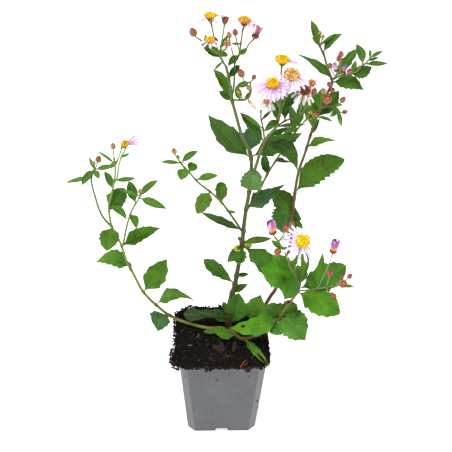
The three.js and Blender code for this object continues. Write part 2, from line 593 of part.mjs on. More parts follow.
function branchSolid({ line, parent, startRadius, endRadius }) {
  const sides = startRadius > 1.4 ? 6 : 4;
  return stalk(line, startRadius, endRadius, sides, parent === 'soil' ? 1 : SUNK_SHARE);
}

// The rows of a leaf between its root and its tip: how far along its rib each lies, and the share of
// its full width there
function leafRows(length, teeth) {
  const outline = (t) => Math.sin(Math.PI * t ** 0.86) ** 0.82;
  const neck = [0.1, 0.16];
  if (teeth === 0) {
    const middles = length > 16 ? [0.3, 0.55, 0.8] : [0.35, 0.68];
    return [neck, ...middles.map((t) => [t, outline(t)])];
  }
  const first = 0.3;
  const pitch = (0.8 - first) / Math.max(1, teeth - 1);
  const rows = [neck, [first, outline(first)]];
  for (let k = 1; k < teeth; k += 1) {
    const notch = first + pitch * (k - 0.8);
    const peak = first + pitch * k;
    rows.push([notch, 0.88 * outline(notch)], [peak, 1.05 * outline(peak)]);
  }
  return teeth === 1 ? [...rows, [0.7, outline(0.7)]] : rows;
}

// A leaf's blade on its arched rib, folded up a little along the rib, its edges with pointed teeth
function leaf(row) {
  const [branchName, rootX, rootY, tipX, tipY, behind, width, lean, roll, arch, teeth, bow = 0] = row;
  const root = joint(branchName, rootX, rootY);
  const tip = place(tipX, tipY, root.y + behind);
  const along = tip.clone().sub(root);
  const length = along.length();
  along.normalize();
  const face = new THREE.Vector3(0, 0, 1 - lean).addScaledVector(forward, -lean).normalize();
  face.applyAxisAngle(along, THREE.MathUtils.degToRad(roll));
  const side = along.clone().cross(face).normalize();
  const normal = side.clone().cross(along);
  const fold = width < FOLDED_WIDTH ? 0 : LEAF_FOLD;
  const point = (t, share) => root.clone()
    .addScaledVector(along, length * t)
    .addScaledVector(normal, arch * 4 * t * (1 - t) + fold * Math.abs(share) * width * 0.5)
    .addScaledVector(side, bow * 4 * t * (1 - t) + share * width * 0.5);
  const rows = leafRows(length, teeth).map(([t, share], k) => {
    const flat = k === 0 || width < FOLDED_WIDTH;
    return (flat ? [1, -1] : [1, 0, -1]).map((s) => point(t, s * share));
  });
  return blade([[point(0, 0)], ...rows, [point(1, 0)]], BLADE_THICKNESS);
}

// A thin stalk that ends in a round head, as one solid: the stalk meets the head along its axis.
// The head's profile has heights along the axis from its base, and radii.
function stalkedHead(start, base, axis, profile, sides) {
  const bend = base.clone().addScaledVector(axis, -0.4 * start.distanceTo(base));
  const curve = new THREE.QuadraticBezierCurve3(start, bend, base);
  const line = curve.getPoints(start.distanceTo(base) > STRAIGHT_STALK ? 2 : 1);
  const ways = headings(line);
  ways[line.length - 1] = axis;
  let normal = squareTo(ways[0])[0];
  const ring = (centre, way, radius) => {
    normal = normal.clone().addScaledVector(way, -normal.dot(way)).normalize();
    const binormal = way.clone().cross(normal);
    return radius === 0 ? [centre] : Array.from({ length: sides }, (_, i) => {
      const angle = (TAU * i) / sides;
      return centre.clone()
        .addScaledVector(normal, radius * Math.cos(angle))
        .addScaledVector(binormal, radius * Math.sin(angle));
    });
  };
  const rings = line.map((centre, k) => (
    ring(centre, ways[k], PEDICEL_RADIUS * (k === 0 ? SUNK_SHARE : 1))));
  for (const [height, radius] of profile) {
    rings.push(ring(base.clone().addScaledVector(axis, height), axis, radius));
  }
  return loft(rings);
}

// The way that a bud or closed bloom points: on from its stalk, and a little upwards
function growth(start, middle) {
  const way = middle.clone().sub(start).normalize();
  return way.add(new THREE.Vector3(0, 0, 0.5)).normalize();
}

// A closed bud on its stalk
function bud([branchName, startX, startY, x, y, behind, length]) {
  const start = joint(branchName, startX, startY);
  const middle = place(x, y, start.y + behind);
  const axis = growth(start, middle);
  const base = middle.clone().addScaledVector(axis, -length / 2);
  const belly = length * 0.42;
  const profile = [
    [0.2 * length, 0.95 * belly],
    [0.6 * length, 0.9 * belly],
    [length, 0],
  ];
  return stalkedHead(start, base, axis, profile, 5);
}

// The way that a bloom faces
function facing(turn, height) {
  const t = THREE.MathUtils.degToRad(turn);
  const h = THREE.MathUtils.degToRad(height);
  return new THREE.Vector3(Math.sin(t) * Math.cos(h), -Math.cos(t) * Math.cos(h), Math.sin(h));
}

// A bloom's seat: its branch, where its disc sits, its axis, and the foot of its green cup
function bloomSeat([, branchName, startX, startY, x, y, behind, turn, height]) {
  const start = joint(branchName, startX, startY);
  const disc = place(x, y, start.y + behind);
  const axis = facing(turn, height);
  const drop = CUP_HEIGHT + PETAL_THICKNESS + 2 * SEAT_GAP;
  return { start, disc, axis, foot: disc.clone().addScaledVector(axis, -drop) };
}

// The green cup of scales under a bloom, on its stalk
function cup(row) {
  const { start, axis, foot } = bloomSeat(row);
  const radius = CUP_SHARE * row[9];
  const profile = [[0.4 * CUP_HEIGHT, 0.75 * radius], [CUP_HEIGHT, radius]];
  return stalkedHead(start, foot, axis, profile, 6);
}

// The petals of a bloom and the hub that they spread from, in one thin sheet
function petals(row) {
  const [, , , , , , , , , discWidth, length, from, to, count, droop] = row;
  const { foot, axis } = bloomSeat(row);
  const [first, second] = viewSquare(axis);
  const hub = HUB_SHARE * discWidth;
  const middle = foot.clone().addScaledVector(axis, CUP_HEIGHT + SEAT_GAP + PETAL_THICKNESS / 2);
  const slope = THREE.MathUtils.degToRad(droop);
  const outward = (angle) => first.clone().multiplyScalar(Math.cos(angle))
    .addScaledVector(second, Math.sin(angle));
  const step = THREE.MathUtils.degToRad((to - from) / Math.max(1, count - 1));
  const half = PETAL_WIDTH / 2;
  const foothold = Math.min(0.6 * half, 0.42 * hub * step);
  const points = [middle];
  const faces = [];
  const rim = [];
  for (let k = 0; k < count; k += 1) {
    const angle = THREE.MathUtils.degToRad(from) + step * k;
    const way = outward(angle);
    const side = axis.clone().cross(way);
    const at = (reach, aside) => middle.clone()
      .addScaledVector(way, hub + reach * Math.cos(slope))
      .addScaledVector(axis, -reach * Math.sin(slope))
      .addScaledVector(side, aside);
    const right = points.length;
    points.push(at(0, -foothold), at(0.6 * length, -half), at(length, 0));
    points.push(at(0.6 * length, half), at(0, foothold));
    faces.push([right, right + 1, right + 4], [right + 1, right + 3, right + 4]);
    faces.push([right + 1, right + 2, right + 3], [0, right, right + 4]);
    rim.push(right, right + 1, right + 2, right + 3, right + 4);
  }
  const gap = TAU - step * (count - 1);
  const fillers = Math.round(gap / (TAU / 9)) - 1;
  const start = THREE.MathUtils.degToRad(to);
  for (let k = 1; k <= fillers; k += 1) {
    rim.push(points.length);
    points.push(middle.clone().addScaledVector(outward(start + (gap * k) / (fillers + 1)), hub));
  }
  rim.forEach((a, i) => {
    const b = rim[(i + 1) % rim.length];
    const betweenPetals = (a - 1) % 5 === 4 || a > 5 * count;
    if (betweenPetals) {
      faces.push([0, a, b]);
    }
  });
  return slab(points, faces, rim, PETAL_THICKNESS);
}

// Two directions square to a bloom's axis: to the right in the view, and up in it
function viewSquare(axis) {
  const right = across.clone().addScaledVector(axis, -across.dot(axis)).normalize();
  return [right, axis.clone().cross(right)];
}

// A bloom's domed disc, its florets as bumps
function disc(row) {
  const { foot, axis } = bloomSeat(row);
  const radius = row[9] / 2;
  const base = foot.clone().addScaledVector(axis, CUP_HEIGHT + PETAL_THICKNESS + 2 * SEAT_GAP);
  const profile = [
    [0, 0.9 * radius],
    [0.3 * radius, 0.92 * radius],
    [0.5 * radius, 0.52 * radius],
    [0.54 * radius, 0],
  ];
  return turned(base, axis, profile, 12, 0.08);
}

// The seat of a closed bloom: its stalk's start, its axis and the foot of its petals
function closedSeat([, branchName, startX, startY, x, y, behind, , length]) {
  const start = joint(branchName, startX, startY);
  const middle = place(x, y, start.y + behind);
  const axis = growth(start, middle);
  return { start, axis, foot: middle.clone().addScaledVector(axis, -length / 2) };
}

// The small green cup that holds a closed bloom
function closedCup(row) {
  const { start, axis, foot } = closedSeat(row);
  const radius = 0.36 * row[7];
  const height = 3.2;
  const base = foot.clone().addScaledVector(axis, -height - SEAT_GAP);
  return stalkedHead(start, base, axis, [[0.4 * height, radius], [height, 0.95 * radius]], 5);
}

// The furled petals of a closed bloom, in a ribbed cone that opens upwards
function closedPetals(row) {
  const { axis, foot } = closedSeat(row);
  const radius = row[7] / 2;
  const length = row[8];
  const profile = [
    [0, 0.6 * radius],
    [0.4 * length, 0.95 * radius],
    [0.8 * length, radius],
    [length, 0.5 * radius],
  ];
  return turned(foot, axis, profile, 10, 0.12);
}

// The pot's outline at a height: a square with its corners cut off, one ring of eight points
function potRing(width, corner, height) {
  const half = width / 2;
  const cut = half - corner;
  const corners = [
    [half, -cut], [half, cut], [cut, half], [-cut, half],
    [-half, cut], [-half, -cut], [-cut, -half], [cut, -half],
  ];
  return corners.map(([x, y]) => new THREE.Vector3(x, y, height));
}

function potWidth(height) {
  return POT_BASE_WIDTH + ((POT_TOP_WIDTH - POT_BASE_WIDTH) * height) / POT_HEIGHT;
}

// The tapered pot: its skirt and wall, its proud rim, its raised floor on a round foot, the notches
// in its lower edge and the drain holes in its floor
function pot() {
  const rimStart = POT_HEIGHT - RIM_DEPTH;
  const inside = (height) => potWidth(height) - 2 * POT_WALL;
  const shell = loft([
    potRing(inside(FLOOR_UNDERSIDE), POT_CORNER - 0.6, FLOOR_UNDERSIDE),
    potRing(inside(0), POT_CORNER - 0.6, 0),
    potRing(POT_BASE_WIDTH, POT_CORNER, 0),
    potRing(potWidth(rimStart), POT_CORNER, rimStart),
    potRing(potWidth(rimStart) + 2 * RIM_PROUD, POT_CORNER + 0.5, rimStart + 0.8),
    potRing(POT_TOP_WIDTH + 2 * RIM_PROUD, POT_CORNER + 0.5, POT_HEIGHT),
    potRing(inside(POT_HEIGHT), POT_CORNER - 0.6, POT_HEIGHT),
    potRing(inside(FLOOR_TOP), POT_CORNER - 0.6, FLOOR_TOP),
  ]);
  const foot = upright(FOOT_RADIUS, 0, FLOOR_UNDERSIDE + 0.5, 0, 0, 16);
  const cuts = [notch(0), notch(Math.PI / 2)];
  for (let k = 0; k < DRAIN_COUNT; k += 1) {
    const angle = (TAU * (k + 0.5)) / DRAIN_COUNT;
    const x = DRAIN_REACH * Math.cos(angle);
    const y = DRAIN_REACH * Math.sin(angle);
    cuts.push(upright(DRAIN_RADIUS, FLOOR_UNDERSIDE - 1, FLOOR_TOP + 1, x, y, 8));
  }
  return fuse([shell, foot]).subtract(fuse(cuts));
}

// An upright round bar between two heights
function upright(radius, low, high, x, y, sides) {
  const geometry = new THREE.CylinderGeometry(radius, radius, high - low, sides);
  geometry.rotateX(Math.PI / 2);
  geometry.translate(x, y, (low + high) / 2);
  return solidFromGeometry(geometry);
}

// The cutter of two facing notches: a low trapezoid bar from face to face, with the foot left whole
function notch(turn) {
  const half = NOTCH_WIDTH / 2;
  const shape = new THREE.Shape([
    new THREE.Vector2(-half, -1),
    new THREE.Vector2(half, -1),
    new THREE.Vector2(half - 2, NOTCH_HEIGHT - 0.2),
    new THREE.Vector2(2 - half, NOTCH_HEIGHT - 0.2),
  ]);
  const reach = POT_BASE_WIDTH;
  const geometry = new THREE.ExtrudeGeometry(shape, { depth: 2 * reach, bevelEnabled: false });
  geometry.translate(0, 0, -reach);
  geometry.rotateX(Math.PI / 2);
  geometry.rotateZ(turn);
  const bar = solidFromGeometry(geometry);
  return bar.subtract(upright(FOOT_RADIUS + 4, -2, NOTCH_HEIGHT + 1, 0, 0, 16));
}

// Seeded draws between 0 and 1
function draws(seed) {
  let state = seed;
  return () => {
    state = (Math.imul(state, 1664525) + 1013904223) >>> 0;
    return state / 4294967296;
  };
}

// The soil's outline in the pot, as a share of the pot's inner half-width at an angle
function squareReach(angle) {
  const c = Math.abs(Math.cos(angle));
  const s = Math.abs(Math.sin(angle));
  return Math.min(1 / Math.max(c, s), 1.83 / (c + s));
}

// The hole that a stem stands in: the stem's own line, a little wider and deeper
function rootHole({ line, startRadius }) {
  const ground = line.slice(0, 6);
  ground[0] = ground[0].clone().add(new THREE.Vector3(0, 0, -1));
  return stalk(ground, startRadius + ROOT_HOLE, startRadius + ROOT_HOLE, 6);
}

// The soil: it fills the pot, swells over the rim and is lumpy on top, with plain holes for stems
function soil() {
  const draw = draws(7);
  const sides = 24;
  const inner = (height) => (potWidth(height) - 2 * POT_WALL) / 2 - SOIL_CLEARANCE - 0.35;
  const ring = (half, height, wobble) => Array.from({ length: sides }, (_, i) => {
    const angle = (TAU * i) / sides;
    const reach = half * squareReach(angle) * (1 + wobble * (draw() - 0.5));
    const lift = height > POT_HEIGHT + 1 ? SOIL_LUMP * 2 * (draw() - 0.5) : 0;
    return new THREE.Vector3(reach * Math.cos(angle), reach * Math.sin(angle), height + lift);
  });
  const floor = FLOOR_TOP + SOIL_CLEARANCE;
  const lip = POT_HEIGHT + SOIL_CLEARANCE;
  const spill = inner(POT_HEIGHT);
  const body = loft([
    ring(inner(floor), floor, 0),
    ring(spill, lip, 0),
    ring(spill + SOIL_SPILL, lip, 0.02),
    ring(spill + SOIL_SPILL * 0.8, lip + 1.8, 0.04),
    ring(spill * 0.86, SOIL_TOP, 0.05),
    ring(spill * 0.6, SOIL_TOP + 0.5, 0.06),
    ring(spill * 0.3, SOIL_TOP + 0.9, 0.06),
    [new THREE.Vector3(0, 0, SOIL_TOP + 0.9)],
  ]);
  const clods = Array.from({ length: CLOD_COUNT }, () => {
    const angle = TAU * draw();
    const reach = spill * squareReach(angle) * (0.2 + 0.62 * Math.sqrt(draw()));
    const size = 1.6 + 2.4 * draw();
    const geometry = new THREE.IcosahedronGeometry(size, 0);
    geometry.rotateX(6 * draw());
    geometry.rotateZ(6 * draw());
    geometry.scale(1, 1, 0.6);
    geometry.translate(reach * Math.cos(angle), reach * Math.sin(angle), SOIL_TOP + 0.2);
    return solidFromGeometry(geometry);
  });
  const holes = [...branches.values()].filter((b) => b.parent === 'soil').map(rootHole);
  return fuse([body, ...clods]).subtract(fuse(holes));
}

// One leafy stem: its branches, leaves, buds and the cups of its blooms, grown as one piece
function stem(name) {
  const grows = (row, column) => branches.get(row[column]).stem === name;
  const parts = [...branches.values()].filter((b) => b.stem === name).map(branchSolid);
  parts.push(...LEAVES.filter((row) => grows(row, 0)).map(leaf));
  parts.push(...BUDS.filter((row) => grows(row, 0)).map(bud));
  parts.push(...BLOOMS.filter((row) => grows(row, 1)).map(cup));
  parts.push(...CLOSED_BLOOMS.filter((row) => grows(row, 1)).map(closedCup));
  return fuse(parts);
}

const plant = new THREE.Group();
plant.add(sceneMesh('pot', pot(), FINISH.pot));
plant.add(sceneMesh('soil', soil(), FINISH.soil));
for (const name of ['stem_left', 'stem_main', 'stem_right', 'stem_low']) {
  plant.add(sceneMesh(name, stem(name), FINISH.stem));
}
for (const row of BLOOMS) {
  plant.add(sceneMesh(`petals_${row[0]}`, petals(row), FINISH.petals));
  plant.add(sceneMesh(`disc_${row[0]}`, disc(row), FINISH.disc));
}
for (const row of CLOSED_BLOOMS) {
  plant.add(sceneMesh(`petals_${row[0]}`, closedPetals(row), FINISH.closed));
}

export default plant;
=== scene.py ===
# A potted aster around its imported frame: a square nursery pot, its soil, and leafy flowering stems.

import math

import bmesh
import bpy
import numpy as np
from mathutils import Matrix, Vector, noise


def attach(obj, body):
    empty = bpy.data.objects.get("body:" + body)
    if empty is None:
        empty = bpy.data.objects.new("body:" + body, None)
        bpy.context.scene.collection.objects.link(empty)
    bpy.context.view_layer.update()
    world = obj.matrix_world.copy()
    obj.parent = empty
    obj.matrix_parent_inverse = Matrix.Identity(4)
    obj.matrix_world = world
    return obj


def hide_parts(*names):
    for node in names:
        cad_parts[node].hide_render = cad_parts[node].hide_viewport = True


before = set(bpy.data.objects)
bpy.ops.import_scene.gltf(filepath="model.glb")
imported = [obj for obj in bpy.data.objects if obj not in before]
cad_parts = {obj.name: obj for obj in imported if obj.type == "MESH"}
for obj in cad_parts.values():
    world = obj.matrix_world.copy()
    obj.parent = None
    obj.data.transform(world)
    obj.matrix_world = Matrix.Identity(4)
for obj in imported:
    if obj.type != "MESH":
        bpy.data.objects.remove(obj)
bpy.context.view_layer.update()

MM = 0.001
TAU = 2 * math.pi
UP = np.array([0.0, 0.0, 1.0])

# The front view that the layout is given in: 452 units square, millimetres, degrees
VIEW_DISTANCE = 950.0
VIEW_ELEVATION = 33.0
VIEW_AZIMUTH = -2.3
VIEW_ROLL = 1.2
VIEW_FOCAL = 1046.0
VIEW_SIZE = 452.0
VIEW_AIM = np.array([1.5, 0.0, 221.6])
SENSOR = 36.0

# Sizes of the stems, buds and blooms, in millimetres
ROOT_DEPTH = 14.0
PEDICEL_RADIUS = 0.58
BLOOM_STALK_RADIUS = 0.8
CUP_HEIGHT = 4.0
CUP_SHARE = 0.28
PETAL_PLANE = 4.6
DISC_SEAT = 5.2
PETAL_WIDTH = 2.5
PETAL_HALF = 0.13
BRACT_HALF = 0.12
CLOSED_CUP_HEIGHT = 3.2
CURVE_STEP = 1.4
HAIR_WIDTH = 0.07
HAIR_LENGTHS = (0.45, 0.95)
PAPPUS_WIDTH = 0.09
PAPPUS_LENGTHS = (1.8, 3.2)

# Where something grows from a stalk: how far along it swells, by which share, and how red it turns
NODE_REACH = 1.9
NODE_SWELL = 0.38
NODE_RED = 0.4
NODE_COLOUR = (90, 46, 30)

# Sides of the stalks, pedicels, fibres, buds and cups, cores of discs, and the soil's bed, and its rings
STALK_SIDES = 12
PEDICEL_SIDES = 8
FIBRE_SIDES = 5
BUD_SIDES = 12
DISC_SIDES = 20
SOIL_SIDES = 220
SOIL_RINGS = 64

# Sizes of the leaves, in millimetres, and shares of their length
LEAF_FOLD = 0.22
FOLDED_WIDTH = 6.0
LEAF_HALF = 0.17
LEAF_STEP = 0.95
VEIN_SPACING = 6.5
SCORCH_WIDTH = 0.8
SCORCH = 0.8
FIRST_TOOTH = 0.3
TOOTH_DEPTH = 0.2
LAST_TOOTH = 0.8

# Sizes of the pot and the soil, in millimetres
POT_HEIGHT = 92.0
POT_TOP_HALF = 41.7
POT_BASE_HALF = 33.5
RIM_HALF = 45.0
SOIL_TOP = 95.0
SOIL_FLOOR = 5.9
SOIL_MIDDLE = 45.0
SOIL_INSET = 2.05
SOIL_SPILL = 5.2

# Angles round the pot: its left, its front, and where the soil hangs out the furthest
LEFT_ANGLE = math.pi
FRONT_ANGLE = 1.5 * math.pi
CLUMP_ANGLE = math.radians(218)

# The floor's half-width in metres, the strength of its glow and of the sky, the point that the lamps
# face, and their power in watts
FLOOR_HALF = 6.0
FLOOR_GLOW = 0.6
SKY_STRENGTH = 0.36
LIGHT_AIM = (0.0, 0.0, 0.2)
TOP_POWER = 28.0
SIDE_POWER = 9.0

# Seeds of the random draws
LEAF_SEED = 1000
BUD_SEED = 2000
CUP_SEED = 3000
CLOSED_SEED = 4000
HAIR_SEED = 5000
RAY_SEED = 6000
DISC_SEED = 7000
FURLED_SEED = 8000
SOIL_SEED = 9000

# Counts of what lies loose on the soil, of a spent disc's bristles, and of an open bud's florets
SOIL_CRUMBS = 1000
SOIL_FIBRES = 150
SOIL_SHREDS = 46
PAPPUS_COUNT = 90
BUD_FLORETS = 12

# Each branch: its name, what it grows from, its stem, its radius at the start and the end, and its line:
# places across and down the view, and depths behind the middle of the pot.
BRANCHES = [
  ["left", "soil", "stem_left", 1.7, 0.7, [
    [224, 329, 4.4], [208, 328, 5.4], [195, 325, 11], [180, 320.4, 18.5], [167.4, 314, 21.9],
    [157.3, 306, 23.3], [149.3, 298.8, 23.3], [141.6, 289.5, 22.4], [134, 275, 21.7], [127, 262, 20.5],
    [123, 250, 18], [119, 240, 15], [112, 227, 12], [109.5, 215, 9], [109, 205, 7.5],
    [111, 196, 6], [113, 188, 4.5], [115, 175, 3], [115, 165, 3], [114, 158, 3]]],
  ["left_bloom_stalk", "left", "stem_left", 0.9, 0.7, [
    [114, 184, 4.5], [117, 178, 3], [119, 165, 0], [122, 155, -1.5]]],
  ["left_thin", "left", "stem_left", 0.55, 0.5, [[115, 166, 3], [118, 159, 5.2], [121, 151, 7.5]]],
  ["left_outer", "left", "stem_left", 1.05, 0.75, [
    [112, 227, 12], [108, 223, 12], [103, 217, 13.5], [99, 209, 15], [95, 196, 18],
    [92, 185, 19.5], [91.5, 177, 21], [95, 168, 22.5]]],
  ["left_inner", "left", "stem_left", 1.05, 0.7, [
    [122, 248, 18], [124, 240, 15], [126, 230, 12], [129, 218, 9], [133, 208, 6],
    [138, 200, 3], [140, 196, 1.5]]],
  ["main", "soil", "stem_main", 2.5, 1.15, [
    [228.5, 325, 12], [228.5, 310, 10.7], [231, 297, 9.4], [235, 284, 7.7], [238, 268, 7.1],
    [241, 252, 6], [243, 235, 4.5], [244, 225, 3], [246, 210, 3], [249, 193, 1.5],
    [251, 175, 0], [251, 157, 0], [247, 146, -1.5], [243, 139, -3], [240, 130, -3],
    [236, 115, -4.5], [232, 100, -6], [229, 80, -7.5], [226, 66, -9]]],
  ["side", "main", "stem_main", 1.15, 0.75, [
    [242, 233, 4.5], [233, 218, -3], [226, 208, -9], [221, 202, -12], [215, 196, -15],
    [208, 190, -18], [200, 184, -21], [195, 179, -22.5], [189, 172, -24], [184, 167, -25.5],
    [180, 162, -27]]],
  ["centre", "main", "stem_main", 1.6, 1.0, [
    [251, 185, 0], [254, 172, -6], [257, 163, -10.5], [260, 153, -15], [264, 142, -19.5],
    [270, 134, -24], [276, 127, -28.5], [279, 117, -33], [281, 108, -36]]],
  ["centre_right", "centre", "stem_main", 0.8, 0.6, [
    [276, 127, -28.5], [285, 121, -25.5], [293, 118, -22.5], [303, 112, -19.5]]],
  ["centre_left", "centre", "stem_main", 0.8, 0.6, [
    [264, 141, -19.5], [263, 128, -24], [261, 118, -27], [261, 110, -30]]],
  ["thin", "main", "stem_main", 1.15, 0.7, [
    [247, 212, 3], [255, 198, 6], [261, 187, 9], [267, 175, 12], [273, 165, 15],
    [279, 156, 16.5], [284, 147, 18], [290, 139, 19.5], [296, 131, 21], [301, 125, 22.5],
    [307, 119, 22.5]]],
  ["head_left", "main", "stem_main", 0.9, 0.65, [[226, 66, -9], [222, 60, -10.5], [219, 52, -12]]],
  ["head_left_tall", "head_left", "stem_main", 0.65, 0.55, [
    [219, 52, -12], [215, 42, -13.5], [212.5, 30, -15], [211, 21, -15]]],
  ["head_left_low", "head_left", "stem_main", 0.65, 0.55, [
    [219, 52, -12], [212, 47, -12], [205, 43.5, -12], [199, 39, -11]]],
  ["head_right", "main", "stem_main", 0.9, 0.6, [
    [232, 98, -6], [234, 85, -4.5], [234.5, 72, -3], [235, 62, -1.5], [239, 55, 0],
    [241, 42, 1.5], [243, 28, 3]]],
  ["head_far", "head_right", "stem_main", 0.6, 0.55, [
    [239.5, 53, 0], [245, 50, 4.5], [249, 44, 7.5], [254, 39, 10.5]]],
  ["head_low", "main", "stem_main", 0.8, 0.55, [
    [233, 99, -6], [243, 100, -10.5], [249, 97, -13.5], [251, 90, -15], [250, 82, -16.5]]],
  ["right", "soil", "stem_right", 2.0, 0.9, [
    [251, 322, 18], [262, 310, 19.2], [270, 297, 21.2], [276, 288, 22.5], [284, 268, 25.5],
    [290, 245, 27], [293, 225, 28.5], [293, 212, 28.5], [294, 200, 30], [296, 185, 30],
    [299, 170, 31.5], [304, 156, 33], [309, 140, 33], [313, 127, 34.5], [318, 113, 34.5],
    [323, 103, 36], [328, 92, 36], [332, 84, 37.5], [331, 77, 37.5], [327, 66, 39],
    [324, 55, 39], [322, 51, 39], [319, 44, 40.5]]],
  ["right_outer", "right", "stem_right", 0.9, 0.55, [
    [332.5, 80, 37.5], [340, 76, 33], [350, 74, 30], [356, 72, 27], [361, 66, 25.5],
    [366, 63, 24], [370, 58, 22.5]]],
  ["right_buds", "right", "stem_right", 0.7, 0.55, [[321, 108, 36], [330, 106, 30], [338, 110, 25.5]]],
  ["low", "soil", "stem_low", 1.7, 1.0, [
    [232, 331, 2], [237, 336, -6], [243, 339, -11], [252, 337, -10.5], [262, 333, -9],
    [270, 327, -10], [280, 317, -13.1], [285, 309, -17.2], [291, 301, -21.7], [297, 293, -26.6],
    [300, 284, -30.8]]],
  ["low_right", "low", "stem_low", 0.8, 0.6, [
    [298, 291, -27], [308, 290, -29.6], [316, 289, -32.3], [326, 287, -35.2], [337, 285, -38.2]]],
  ["low_left", "low", "stem_low", 1.0, 0.6, [
    [300, 285, -30.6], [295, 276, -36.5], [290, 267, -42.8], [288, 260, -46], [284, 251, -49.5],
    [280, 244, -51], [275, 237, -52.5]]],
]

